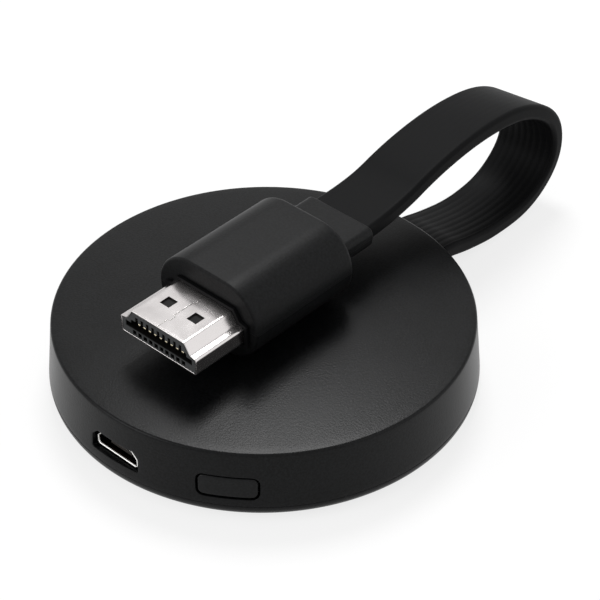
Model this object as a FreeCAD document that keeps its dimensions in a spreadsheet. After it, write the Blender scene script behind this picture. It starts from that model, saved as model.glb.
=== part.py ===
import FreeCAD, Part
import math
import os
import re

import Sketcher
from FreeCAD import Placement, Rotation, Vector

# A round wireless display dongle that lies on its front cover, with its short flat
# cable looped back so that the plug rests on the domed rear cover.
# Row frame: origin on the table under the middle of the puck, +Z up, +Y towards the
# cable's exit, the power port facing -Y.

# Driving dimensions in millimetres and degrees: alias, value, what it is
SIZES = (
    # Puck housing
    ("seam_radius", 29.8, "outer radius of the puck at its seam, the widest place"),
    ("wall_lean", 0.8, "how far the tapered wall leans in by its top rim"),
    ("seam_height", 2.6, "height of the seam between the two covers"),
    ("rim_height", 10.9, "height of the top rim"),
    ("dome_rise", 0.9, "rise of the domed rear cover above its rim"),
    ("rim_bevel", 0.3, "bevel of the top rim"),
    ("wall", 1.5, "thickness of the rear cover's side wall"),
    ("top_wall", 1.4, "mean thickness of the rear cover's dome over its flat ceiling"),
    ("floor_wall", 1.3, "thickness of the front cover"),
    ("foot_radius", 21.0, "radius of the flat middle that the puck rests on"),
    ("edge_rise", 0.6, "height at which the front cover's slope meets its side"),
    ("edge_round", 1.2, "rounding of the front cover's outer edge"),
    ("lip_height", 1.2, "height of the front cover's locating lip above the seam"),
    ("lip_wall", 0.8, "thickness of the locating lip"),
    ("lip_notch", 4.0, "depth of the cut that the lip leaves for the button"),
    ("fit_gap", 0.1, "clearance between pieces that fit in each other"),
    ("rib_count", 12, "number of ribs that press the board down"),
    ("rib_width", 0.8, "width of a rib"),
    ("rib_bite", 0.7, "overlap of a rib on the board's edge"),
    # Screws and their bosses
    ("boss_inset", 6.0, "distance of the screw bosses from the board's edge"),
    ("boss_angle", 30.0, "angle of the first screw boss from the X axis"),
    ("boss_radius", 2.1, "outer radius of a screw boss"),
    ("screw_radius", 0.8, "radius of a screw's shank"),
    ("screw_depth", 2.4, "length of the shank inside its boss"),
    ("screw_head_radius", 1.5, "radius of a screw's head"),
    ("screw_head_height", 1.0, "height of a screw's head"),
    ("screw_recess", 0.5, "depth of the cross recess in a head"),
    ("screw_gap", 0.05, "clearance round a screw's shank"),
    # Main board and its power port
    ("board_margin", 1.3, "distance of the board's edge from the wall's foot"),
    ("board_thickness", 1.0, "thickness of the main board"),
    ("port_shift", 1.1, "distance of the power port from the middle, along X"),
    ("port_level", 5.5, "height of the middle of the power port"),
    ("port_width", 7.5, "width of the port's metal shell"),
    ("port_height", 2.5, "height of the port's metal shell"),
    ("port_length", 5.2, "length of the port's metal shell"),
    ("port_wall", 0.25, "sheet thickness of the port's shell"),
    ("port_bevel", 1.0, "bevel of the two corners on the board side"),
    ("port_recess", 0.85, "distance from the wall's outer face to the port's mouth"),
    ("port_margin", 0.35, "gap between the port's shell and its window, across"),
    ("port_margin_up", 0.28, "gap between the port's shell and its window, up and down"),
    ("tongue_width", 3.9, "width of the port's tongue"),
    ("tongue_thickness", 0.6, "thickness of the port's tongue"),
    ("tongue_lift", 0.35, "gap under the port's tongue"),
    ("tongue_recess", 0.6, "distance from the port's mouth to the tongue's tip"),
    ("port_block", 1.5, "length of the plastic block at the port's rear"),
    ("port_pin_pitch", 0.65, "pitch of the port's five contacts"),
    ("port_pin_width", 0.4, "width of a port contact"),
    ("port_pin_thickness", 0.15, "thickness of a port contact"),
    ("port_pin_count", 5, "number of the port's contacts"),
    ("port_pin_tail", 0.5, "length of a port contact behind the block"),
    ("port_tab_length", 0.8, "length of a solder tab of the port's shell"),
    ("port_tab_first", 2.6, "distance from the port's mouth to its first pair of tabs"),
    ("port_tab_second", 4.2, "distance from the port's mouth to its second pair of tabs"),
    ("port_tab_width", 1.0, "width of a solder tab beside the shell"),
    # Button and its switch, set out as if facing -Y and then turned to button_angle
    ("button_angle", 304.3, "direction that the button faces, from the X axis"),
    ("button_level", 5.45, "height of the middle of the button"),
    ("button_width", 8.05, "width of the button cap"),
    ("button_height", 3.2, "height of the button cap"),
    ("button_corner", 0.8, "corner radius of the button cap"),
    ("button_gap", 0.16, "gap round the button cap in its window"),
    ("button_flange", 0.75, "overhang of the flange that keeps the cap in"),
    ("flange_thickness", 0.8, "thickness of the cap's flange"),
    ("pusher_radius", 1.1, "radius of the pusher on the back of the cap"),
    ("pusher_length", 0.6, "length of the pusher on the back of the cap"),
    ("plunger_gap", 0.04, "gap between the pusher and the switch's plunger"),
    ("press_travel", 0.35, "travel of the button"),
    ("switch_width", 6.0, "width of the switch body"),
    ("switch_depth", 3.3, "depth of the switch body, front to back"),
    ("switch_height", 3.2, "height of the switch body"),
    ("plunger_width", 2.6, "width of the switch's plunger"),
    ("plunger_height", 1.3, "height of the switch's plunger"),
    ("plunger_reach", 0.9, "length of the plunger outside the switch body"),
    ("plunger_corner", 0.25, "corner radius of the plunger"),
    ("plunger_tail", 1.1, "length of the plunger inside the switch body"),
    ("cover_sheet", 0.2, "sheet thickness of the switch's metal cover"),
    # Heat path under the board
    ("shield_length", 25.4, "outer length of the shield frame, along X"),
    ("shield_width", 15.4, "outer width of the shield frame, along Y"),
    ("shield_shift", 1.0, "distance of the shield from the middle, along Y"),
    ("shield_sheet", 0.2, "sheet thickness of the shield frame and lid"),
    ("shield_skirt", 0.9, "height of the lid's skirt over the frame"),
    ("shield_corner", 0.8, "corner radius of the shield frame"),
    ("vent_length", 2.2, "length of a vent slot in the shield lid"),
    ("vent_width", 0.8, "width of a vent slot"),
    ("vent_pitch", 1.9, "distance between vent slots"),
    ("vent_count", 6, "number of vent slots in a row"),
    ("processor_side", 12.0, "side of the processor"),
    ("processor_height", 1.1, "height of the processor"),
    ("processor_shift", 5.9, "distance of the processor from the shield's middle"),
    ("memory_length", 9.0, "length of the memory chip, along X"),
    ("memory_width", 11.0, "width of the memory chip, along Y"),
    ("memory_height", 0.9, "height of the memory chip"),
    ("memory_shift", 6.9, "distance of the memory chip from the shield's middle"),
    ("pad_thickness", 0.5, "thickness of the pad between processor and shield lid"),
    ("gap_pad_thickness", 0.75, "thickness of the pad between lid and heat spreader"),
    ("gap_pad_side", 13.0, "side of the pad between lid and heat spreader"),
    ("spreader_side", 27.0, "side of the heat spreader"),
    ("spreader_bevel", 3.0, "bevel of the heat spreader's corners"),
    ("spreader_thickness", 0.8, "thickness of the heat spreader"),
    ("post_circle", 15.5, "radius of the circle of the posts under the spreader"),
    ("post_radius", 1.8, "radius of a post"),
    ("peg_radius", 0.75, "radius of the peg on a post"),
    # Chips and small parts
    ("flash_length", 13.0, "length of the flash chip"),
    ("flash_width", 11.5, "width of the flash chip"),
    ("flash_height", 0.9, "height of the flash chip"),
    ("flash_from_middle", 10.5, "distance of the flash chip from the middle, along -X"),
    ("radio_side", 12.0, "side of the radio module"),
    ("radio_base", 0.4, "thickness of the radio module's board"),
    ("radio_can", 0.9, "height of the radio module's can above its board"),
    ("radio_margin", 0.5, "distance from the edge of the module's board to its can"),
    ("radio_corner", 0.6, "corner radius of the radio module's can"),
    ("radio_from_middle", 9.0, "distance of the radio module from the middle, along +X"),
    ("crystal_length", 3.2, "length of the crystal"),
    ("crystal_width", 2.5, "width of the crystal"),
    ("crystal_height", 0.7, "height of the crystal"),
    ("crystal_from_middle", 8.0, "distance of the crystal from the middle, along +Y"),
    ("inductor_side", 4.0, "side of a power inductor"),
    ("inductor_height", 1.8, "height of a power inductor"),
    ("inductor_gap", 0.3, "gap between an inductor and the screw head between the two"),
    ("inductor_from_middle", 17.0, "distance of the inductors from the middle, along -Y"),
    ("regulator_side", 3.0, "side of a voltage regulator"),
    ("regulator_height", 0.8, "height of a voltage regulator"),
    ("regulator_from_middle", 12.0, "distance of the regulators from the middle, along -Y"),
    ("capacitor_length", 1.6, "length of a capacitor"),
    ("capacitor_width", 0.8, "width of a capacitor"),
    ("capacitor_height", 0.8, "height of a capacitor"),
    ("capacitor_pitch", 1.5, "distance between capacitors in a row"),
    ("capacitor_count", 10, "number of capacitors in a row"),
    ("capacitor_rear", 12.0, "distance of the first rear row from the middle"),
    ("capacitor_gap", 2.2, "distance between the two rear rows"),
    ("capacitor_front", 9.0, "distance of the front row from the middle"),
    ("antenna_length", 11.0, "length of an antenna"),
    ("antenna_height", 1.3, "height of an antenna above the board"),
    ("antenna_depth", 2.2, "depth of an antenna's top"),
    ("antenna_sheet", 0.2, "sheet thickness of an antenna"),
    ("antenna_bar", 0.8, "width of an antenna's outer bar"),
    ("antenna_foot", 4.0, "length of an antenna's wide end with its two legs"),
    ("antenna_tip", 3.0, "length of an antenna's other wide end"),
    ("antenna_inset", 5.5, "distance of an antenna from the board's edge"),
    # Flat cable and its gland
    ("cable_level", 4.4, "height of the middle of the cable where it leaves the puck"),
    ("cable_width", 10.4, "width of the flat cable"),
    ("cable_thickness", 2.4, "thickness of the flat cable"),
    ("cable_bevel", 0.5, "bevel of the cable's four long edges"),
    ("gland_width", 11.4, "width of the gland's neck"),
    ("gland_nose", 0.8, "length of the gland outside the puck's wall"),
    ("gland_chamfer", 0.4, "chamfer of the gland's nose"),
    ("gland_corner", 0.9, "corner radius of the gland's section"),
    ("gland_flange", 0.9, "overhang of the gland's inner flange"),
    ("gland_flange_depth", 1.2, "thickness of the gland's inner flange"),
    ("core_radius", 0.6, "radius of a core: a shielded pair or the control wires"),
    ("core_pitch", 1.7, "distance between cores side by side"),
    ("core_count", 5, "number of cores"),
    ("core_bare", 2.4, "length of the cores between the gland and their header"),
    ("header_width", 9.6, "width of the header that holds the cores on the board"),
    ("header_depth", 2.6, "depth of the header, along the cores"),
    ("header_bite", 1.0, "length of the cores inside the header"),
    # Plug, set out from the tip of its metal shell
    ("plug_tip", 19.7, "distance of the plug's tip from the middle of the puck"),
    ("shell_width", 13.9, "width of the plug's metal shell"),
    ("shell_height", 4.45, "height of the plug's metal shell"),
    ("shell_side", 2.67, "height of the shell's upright sides"),
    ("shell_ledge", 1.1, "width of the ledge above an upright side"),
    ("shell_ledge_rise", 0.25, "rise of the ledge"),
    ("shell_narrow", 9.8, "width of the shell's narrow face"),
    ("shell_wall", 0.3, "sheet thickness of the plug's shell"),
    ("shell_round", 0.6, "outer radius of the shell's corners"),
    ("shell_length", 14.0, "whole length of the plug's shell"),
    ("shell_bare", 9.1, "length of the shell in front of the boot"),
    ("latch_spread", 4.94, "distance between the middles of the two latch windows"),
    ("latch_width", 1.7, "width of a latch window"),
    ("latch_length", 1.7, "length of a latch window"),
    ("latch_from_tip", 3.65, "distance from the tip to a latch window"),
    ("block_recess", 0.6, "distance from the tip to the contact block"),
    ("block_length", 11.6, "length of the contact block"),
    ("block_gap", 0.05, "gap between the shell and the contact block"),
    ("slot_width", 12.2, "width of the slot in the contact block"),
    ("slot_height", 1.2, "height of the slot in the contact block"),
    ("slot_step", 1.0, "step of the slot's sides under the shell's ledges"),
    ("slot_depth", 7.6, "depth of the slot in the contact block"),
    ("contact_pitch", 1.0, "pitch of the plug's contacts in a row"),
    ("groove_width", 0.5, "width of a contact groove"),
    ("groove_height", 0.75, "height of a contact groove"),
    ("channel_height", 0.56, "height of a channel of the lower row"),
    ("channel_web", 0.3, "web between the slot and the channels of the lower row"),
    ("upper_count", 9, "number of contacts in the upper row"),
    ("lower_count", 10, "number of contacts in the lower row"),
    ("contact_width", 0.4, "width of a contact"),
    ("contact_thickness", 0.2, "thickness of a contact"),
    ("contact_recess", 0.25, "distance from the block's face to a contact's tip"),
    ("comb_length", 2.0, "length of the comb that spaces the cores"),
    ("comb_width", 11.6, "width of the comb"),
    ("comb_height", 3.4, "height of the comb"),
    ("comb_corner", 0.6, "corner radius of the comb"),
    ("can_overlap", 1.4, "length of the shell inside the shield can"),
    ("can_length", 8.4, "length of the shield can"),
    ("can_sheet", 0.25, "sheet thickness of the shield can"),
    ("can_corner", 0.5, "corner radius of the shield can"),
    ("can_gap", 0.05, "gap between the shell and the shield can"),
    ("collar_step", 0.5, "thickness of the inner mould's collar round the shell"),
    ("collar_reach", 0.45, "length of that collar in front of the boot"),
    ("collar_length", 3.0, "whole length of that collar"),
    ("mould_width", 16.0, "width of the inner mould"),
    ("mould_height", 6.8, "height of the inner mould"),
    ("mould_corner", 1.0, "corner radius of the inner mould"),
    ("mould_wall", 0.8, "thickness of the inner mould's rear wall"),
    ("mould_gap", 0.04, "gap between the inner mould and what it holds"),
    ("boot_width", 18.0, "width of the plug's boot"),
    ("boot_height", 11.6, "height of the plug's boot"),
    ("boot_length", 18.9, "length of the plug's boot"),
    ("boot_front_bevel", 0.3, "bevel of the boot's front edge"),
    ("boot_rear_bevel", 0.6, "bevel of the boot's rear edge"),
    ("sleeve_width", 12.0, "width of the sleeve behind the boot"),
    ("sleeve_height", 3.1, "height of the sleeve behind the boot"),
    ("sleeve_root", 1.0, "length of the sleeve's root inside the boot"),
    ("sleeve_length", 7.3, "length of the sleeve behind the boot"),
    ("sleeve_corner", 1.0, "corner radius of the sleeve's section"),
    ("sleeve_bevel", 0.3, "bevel of the sleeve's end"),
)

# Places that follow from the driving dimensions
APEX = "(rim_height + dome_rise)"
CEILING = "(rim_height + dome_rise / 2 - top_wall)"
TAPER = "(wall_lean / (rim_height - seam_height))"
RIM_RADIUS = "(seam_radius - wall_lean)"
INNER_SEAM = "(seam_radius - wall)"
BOARD_RADIUS = f"({INNER_SEAM} - board_margin)"
BOSS_CIRCLE = f"({BOARD_RADIUS} - boss_inset)"
BOSS_X = f"({BOSS_CIRCLE} * cos(boss_angle))"
BOSS_Y = f"({BOSS_CIRCLE} * sin(boss_angle))"
INDUCTOR_PITCH = "(2 * (screw_head_radius + inductor_gap) + inductor_side)"
BOARD_BOTTOM = "(port_level + port_height / 2)"
BOARD_TOP = f"({BOARD_BOTTOM} + board_thickness)"
PROCESSOR_FACE = f"({BOARD_BOTTOM} - processor_height)"
LID_UPPER = f"({PROCESSOR_FACE} - pad_thickness)"
LID_LOWER = f"({LID_UPPER} - shield_sheet)"
SPREADER_TOP = f"({LID_LOWER} - gap_pad_thickness)"
SPREADER_BOTTOM = f"({SPREADER_TOP} - spreader_thickness)"
POST_AT = "(post_circle * sqrt(1 / 2))"
PORT_MOUTH = f"(seam_radius - {TAPER} * (port_level - seam_height) - port_recess)"
PORT_BOTTOM = "(port_level - port_height / 2)"
FLANGE_WIDTH = "(button_width + 2 * button_flange)"
FLANGE_HEIGHT = "(button_height + 2 * button_flange)"
FLANGE_TOP = f"(button_level + {FLANGE_HEIGHT} / 2)"
FLANGE_FACE = (
    f"(sqrt(({INNER_SEAM} - {TAPER} * ({FLANGE_TOP} - seam_height))^2"
    f" - ({FLANGE_WIDTH} / 2)^2) - fit_gap)"
)
PUSHER_TIP = f"({FLANGE_FACE} - flange_thickness - pusher_length)"
PLUNGER_TIP = f"({PUSHER_TIP} - plunger_gap)"
SWITCH_FRONT = f"({PLUNGER_TIP} - plunger_reach)"
GLAND_HEIGHT = "(2 * (cable_level - seam_height))"
GLAND_HALF_FLANGE = "(gland_width / 2 + gland_flange)"
GLAND_INNER = (
    f"(sqrt(({INNER_SEAM} - {TAPER} * (cable_level - seam_height))^2"
    f" - {GLAND_HALF_FLANGE}^2) - 2 * fit_gap)"
)
GLAND_OUTER = "(seam_radius + gland_nose)"
GLAND_BACK = f"({GLAND_INNER} - gland_flange_depth)"
PLUG_LEVEL = f"({APEX} + boot_height / 2)"
LEDGE_ANGLE = "atan(shell_ledge_rise / shell_ledge)"
SLOPE_RUN = "((shell_width - shell_narrow) / 2 - shell_ledge)"
SLOPE_ANGLE = f"atan((shell_height - shell_side - shell_ledge_rise) / {SLOPE_RUN})"
BLOCK_END = "(block_recess + block_length)"
CAN_FRONT = "(shell_length - can_overlap)"
CAN_END = f"({CAN_FRONT} + can_length)"
COLLAR_FRONT = "(shell_bare - collar_reach)"
COLLAR_END = f"({COLLAR_FRONT} + collar_length)"
MOULD_END = f"({CAN_END} + mould_gap + mould_wall)"
BOOT_END = "(shell_bare + boot_length)"
SLEEVE_END = f"({BOOT_END} + sleeve_length)"
COMB_FRONT = "(shell_length + fit_gap)"
CORES_WIDTH = "(core_pitch * (core_count - 1) + 2 * core_radius)"
FIRST_CORE = "(-core_pitch * (core_count - 1) / 2)"

# The cable's route from the gland to the plug's sleeve, in the plane of the cable's
# loop: distance from the middle of the puck and height. Its first and last two points
# come from the gland and the plug.
LOOP = (
    (38.6, 3.0),
    (46.0, 1.7),
    (54.2, 2.5),
    (59.9, 7.8),
    (58.9, 15.2),
    (51.6, 20.2),
    (41.8, 21.5),
    (31.2, 20.4),
)
FIRST_RUN = 3.4
LAST_RUN = 6.6
ARC_SHARE = 0.45

doc = FreeCAD.newDocument("display_dongle")
sheet = doc.addObject("Spreadsheet::Sheet", "Sizes")
for row, (alias, amount, note) in enumerate(SIZES, start=1):
    sheet.set(f"A{row}", alias)
    sheet.set(f"B{row}", str(amount))
    sheet.setAlias(f"B{row}", alias)
    sheet.set(f"C{row}", note)
doc.recompute()

ALIASES = {alias for alias, amount, note in SIZES}
NODES = {}


def sized(text):
    """The expression with each alias led by the sheet's name."""
    return re.sub(
        r"[a-z][a-z_]*",
        lambda word: "Sizes." + word.group() if word.group() in ALIASES else word.group(),
        str(text),
    )


def amount_of(text):
    """The present value of an expression, as a plain number."""
    result = sheet.evalExpression(sized(text))
    return float(getattr(result, "Value", result))


def bind(thing, prop, text):
    """Set a property now and keep it bound to the sheet."""
    thing.setExpression(prop, sized(text))


def node(thing, name):
    """Give a finished sub-part its name."""
    thing.Label = name
    NODES[name] = thing
    return thing


def new_body(name):
    body = doc.addObject("PartDesign::Body", name + "_body")
    body.AllowCompound = True
    return body


def place(thing, across="0", along="0", up="0", turn=None):
    """Place a sub-part by expressions, turned about the vertical when asked."""
    if turn is not None:
        thing.Placement = Placement(Vector(), Rotation(Vector(0, 0, 1), amount_of(turn)))
        bind(thing, "Placement.Rotation.Angle", turn)
    bind(thing, "Placement.Base.x", across)
    bind(thing, "Placement.Base.y", along)
    bind(thing, "Placement.Base.z", up)


def plane_of(body, role):
    return [item for item in body.Origin.OriginFeatures if item.Role == role][0]


def sketch_on(body, name, role, lift="0", turn=None):
    """A sketch on one of the body's own planes, lifted along its normal. The upright
    plane's normal points to -Y. A turn is about the vertical."""
    sketch = body.newObject("Sketcher::SketchObject", name)
    sketch.AttachmentSupport = [(plane_of(body, role), "")]
    sketch.MapMode = "FlatFace"
    if turn is not None:
        axis = Vector(0, 1, 0) if role == "XZ_Plane" else Vector(0, 0, 1)
        sketch.AttachmentOffset = Placement(Vector(), Rotation(axis, amount_of(turn)))
        bind(sketch, "AttachmentOffset.Rotation.Angle", turn)
    bind(sketch, "AttachmentOffset.Base.z", lift)
    return sketch


def fix_distance(sketch, kind, geo, pos, text):
    """Hold one coordinate of a point of the sketch at an expression."""
    index = sketch.addConstraint(Sketcher.Constraint(kind, -1, 1, geo, pos, amount_of(text)))
    bind(sketch, f"Constraints[{index}]", text)


def fix_point(sketch, geo, pos, across, up):
    """Hold a point of the sketch at a place given by two expressions."""
    fix_distance(sketch, "DistanceX", geo, pos, across)
    fix_distance(sketch, "DistanceY", geo, pos, up)


def outline(sketch, corners, arcs=None):
    """A closed outline through corners given as pairs of expressions. An entry of arcs
    makes the side after that corner an arc, from its centre."""
    arcs = arcs or {}
    points = [Vector(amount_of(across), amount_of(up), 0) for across, up in corners]
    sides = []
    for index, start in enumerate(points):
        end = points[(index + 1) % len(points)]
        if index in arcs:
            middle = Vector(amount_of(arcs[index][0]), amount_of(arcs[index][1]), 0)
            radius = (start - middle).Length
            halfway = (start + end) * 0.5 - middle
            if halfway.Length < 1e-6:
                halfway = Vector(start.y - middle.y, middle.x - start.x, 0)
                if len(arcs[index]) > 2:
                    halfway = halfway * -1
            top = middle + halfway.normalize() * radius
            sides.append(sketch.addGeometry(Part.Arc(start, top, end)))
        else:
            sides.append(sketch.addGeometry(Part.LineSegment(start, end)))
    ends = {}
    for index, geo in enumerate(sides):
        start = points[index]
        near = (sketch.getPoint(geo, 1) - start).Length < (sketch.getPoint(geo, 2) - start).Length
        ends[index] = (1, 2) if near else (2, 1)
    for index, geo in enumerate(sides):
        after = (index + 1) % len(sides)
        sketch.addConstraint(
            Sketcher.Constraint("Coincident", geo, ends[index][1], sides[after], ends[after][0])
        )
        fix_point(sketch, geo, ends[index][0], *corners[index])
    for index, place_of in arcs.items():
        start, end = points[index], points[(index + 1) % len(points)]
        if abs(end.x - start.x) < abs(end.y - start.y):
            fix_distance(sketch, "DistanceX", sides[index], 3, place_of[0])
        else:
            fix_distance(sketch, "DistanceY", sides[index], 3, place_of[1])


def rectangle(sketch, width, height, across="0", up="0"):
    left, right = f"{across} - {width} / 2", f"{across} + {width} / 2"
    low, high = f"{up} - {height} / 2", f"{up} + {height} / 2"
    outline(sketch, ((left, low), (right, low), (right, high), (left, high)))


def rounded_rectangle(sketch, width, height, corner, across="0", up="0"):
    """A rectangle with four equal round corners, centred at a place."""
    right, high = f"{across} + ({width}) / 2", f"{up} + ({height}) / 2"
    left, low = f"{across} - ({width}) / 2", f"{up} - ({height}) / 2"
    corners = (
        (f"{left} + {corner}", low),
        (f"{right} - {corner}", low),
        (right, f"{low} + {corner}"),
        (right, f"{high} - {corner}"),
        (f"{right} - {corner}", high),
        (f"{left} + {corner}", high),
        (left, f"{high} - {corner}"),
        (left, f"{low} + {corner}"),
    )
    arcs = {
        1: (f"{right} - {corner}", f"{low} + {corner}"),
        3: (f"{right} - {corner}", f"{high} - {corner}"),
        5: (f"{left} + {corner}", f"{high} - {corner}"),
        7: (f"{left} + {corner}", f"{low} + {corner}"),
    }
    outline(sketch, corners, arcs)


def circle(sketch, radius, across="0", up="0"):
    middle = Vector(amount_of(across), amount_of(up), 0)
    geo = sketch.addGeometry(Part.Circle(middle, Vector(0, 0, 1), amount_of(radius)))
    fix_point(sketch, geo, 3, across, up)
    index = sketch.addConstraint(Sketcher.Constraint("Radius", geo, amount_of(radius)))
    bind(sketch, f"Constraints[{index}]", radius)


def feature(body, kind, name, sketch, length, forward):
    made = body.newObject("PartDesign::" + kind, name)
    made.Profile = sketch
    bind(made, "Length", length)
    made.Reversed = forward
    return made


def pad(body, name, sketch, length, against=False):
    """Material from the sketch along its normal, or against it."""
    made = feature(body, "Pad", name, sketch, length, against)
    doc.recompute()
    return made


def pocket(body, name, sketch, length, along=False):
    """A cut from the sketch against its normal, or along it. It has to remove material."""
    before = body.Shape.Volume
    made = feature(body, "Pocket", name, sketch, length, along)
    doc.recompute()
    if body.Shape.Volume > before - 1e-6:
        raise RuntimeError(f"{name} removes nothing")
    return made


def revolve(body, name, sketch):
    made = body.newObject("PartDesign::Revolution", name)
    made.Profile = sketch
    made.ReferenceAxis = (sketch, ["V_Axis"])
    made.Angle = 360
    doc.recompute()
    return made


def edge_names(shape, wanted):
    """Names of the edges that meet a condition."""
    return [
        f"Edge{index}"
        for index, edge in enumerate(shape.Edges, start=1)
        if not edge.Degenerated and wanted(edge)
    ]


def dress(body, kind, name, size, wanted):
    """A fillet or chamfer on the edges of the body that meet a condition."""
    base = body.Tip
    made = body.newObject("PartDesign::" + kind, name)
    made.Base = (base, edge_names(base.Shape, wanted))
    bind(made, "Radius" if kind == "Fillet" else "Size", size)
    doc.recompute()
    return made


def around(body, name, originals, count):
    """Copies of features turned evenly about the vertical axis."""
    made = body.newObject("PartDesign::PolarPattern", name)
    made.Originals = originals
    made.Axis = (plane_of(body, "Z_Axis"), [""])
    made.Angle = 360
    bind(made, "Occurrences", count)
    body.Tip = made
    doc.recompute()
    return made


def in_row(body, name, originals, pitch, count):
    """Copies of features in a row along X."""
    made = body.newObject("PartDesign::LinearPattern", name)
    made.Originals = originals
    made.Direction = (plane_of(body, "X_Axis"), [""])
    bind(made, "Length", f"({pitch}) * ({count} - 1)")
    bind(made, "Occurrences", count)
    body.Tip = made
    doc.recompute()
    return made


def block(name, length, width, height, across, along, up):
    """A plain box centred at a place in plan, standing on a height."""
    made = doc.addObject("Part::Box", name + "_box")
    bind(made, "Length", length)
    bind(made, "Width", width)
    bind(made, "Height", height)
    place(made, f"{across} - ({length}) / 2", f"{along} - ({width}) / 2", up)
    return made


def runs_along(edge, axis):
    """True for a straight edge along a unit vector."""
    if edge.Curve.TypeId != "Part::GeomLine":
        return False
    return abs(abs(edge.tangentAt(edge.FirstParameter).dot(axis)) - 1) < 1e-6


def depth_at(thing, depth):
    box = thing.BoundBox
    return abs(box.YMin - depth) < 1e-4 and abs(box.YMax - depth) < 1e-4


ALONG_Y = Vector(0, 1, 0)
BUTTON_TURN = "(button_angle - 270)"
RIB_TURN = "(button_angle - 180 / rib_count)"


# Puck housing

def make_rear_cover():
    """Domed cover with its tapered wall, port window, button window and cable slot. The
    dome is so flat that two cones keep within 0.06 mm of its true curve."""
    body = new_body("rear_cover")
    profile = sketch_on(body, "rear_profile", "XZ_Plane")
    outer = f"({RIM_RADIUS} - rim_bevel)"
    dome = [
        (f"{outer} * {share}", f"rim_height + dome_rise * (1 - {share}^2)")
        for share in ("1", "1 / 2", "0")
    ]
    outline(
        profile,
        [
            ("seam_radius", "seam_height"),
            (f"{RIM_RADIUS} + {TAPER} * rim_bevel", "rim_height - rim_bevel"),
            *dome,
            ("0", CEILING),
            (f"{INNER_SEAM} - {TAPER} * ({CEILING} - seam_height)", CEILING),
            (INNER_SEAM, "seam_height"),
        ],
    )
    revolve(body, "rear_turned", profile)

    reach = "seam_radius + 1"
    wide = "(port_width / 2 + port_margin)"
    high = "(port_height / 2 + port_margin_up)"
    window = sketch_on(body, "port_window", "XZ_Plane")
    outline(
        window,
        (
            (f"port_shift - {wide}", f"port_level - {high}"),
            (f"port_shift + {wide}", f"port_level - {high}"),
            (f"port_shift + {wide}", f"port_level + {high} - port_bevel"),
            (f"port_shift + {wide} - port_bevel", f"port_level + {high}"),
            (f"port_shift - {wide} + port_bevel", f"port_level + {high}"),
            (f"port_shift - {wide}", f"port_level + {high} - port_bevel"),
        ),
    )
    pocket(body, "port_opening", window, reach, along=True)

    cap_window = sketch_on(body, "button_window", "XZ_Plane", turn=BUTTON_TURN)
    rounded_rectangle(
        cap_window,
        "button_width + 2 * button_gap",
        "button_height + 2 * button_gap",
        "(button_corner + button_gap)",
        up="button_level",
    )
    pocket(body, "button_opening", cap_window, reach, along=True)

    slot = sketch_on(body, "cable_slot", "XZ_Plane")
    half, corner = "(gland_width / 2 + fit_gap)", "(gland_corner + fit_gap)"
    slot_top = f"cable_level + {GLAND_HEIGHT} / 2 + fit_gap"
    outline(
        slot,
        (
            (f"-{half}", "seam_height - 1"),
            (half, "seam_height - 1"),
            (half, f"{slot_top} - {corner}"),
            (f"{half} - {corner}", slot_top),
            (f"{corner} - {half}", slot_top),
            (f"-{half}", f"{slot_top} - {corner}"),
        ),
        {
            2: (f"{half} - {corner}", f"{slot_top} - {corner}"),
            4: (f"{corner} - {half}", f"{slot_top} - {corner}"),
        },
    )
    pocket(body, "cable_opening", slot, reach)

    rib = sketch_on(body, "rib_plan", "XY_Plane", lift=BOARD_TOP, turn=RIB_TURN)
    rectangle(
        rib,
        f"({INNER_SEAM} - {BOARD_RADIUS} + rib_bite)",
        "rib_width",
        across=f"(({INNER_SEAM} + {BOARD_RADIUS} - rib_bite) / 2)",
    )
    ribs = pad(body, "rib", rib, f"rim_height - {BOARD_TOP}")
    around(body, "ribs", [ribs], "rib_count")

    boss = sketch_on(body, "boss_plan", "XY_Plane", lift=BOARD_TOP)
    circle(boss, "boss_radius", BOSS_X, BOSS_Y)
    boss_pad = pad(body, "boss", boss, f"rim_height - {BOARD_TOP}")
    bore = sketch_on(body, "boss_bore_plan", "XY_Plane", lift=BOARD_TOP)
    circle(bore, "screw_radius + screw_gap", BOSS_X, BOSS_Y)
    boss_bore = pocket(body, "boss_bore", bore, "screw_depth + 2 * fit_gap", along=True)
    around(body, "bosses", [boss_pad, boss_bore], "3")
    return node(body, "rear_cover")


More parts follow.
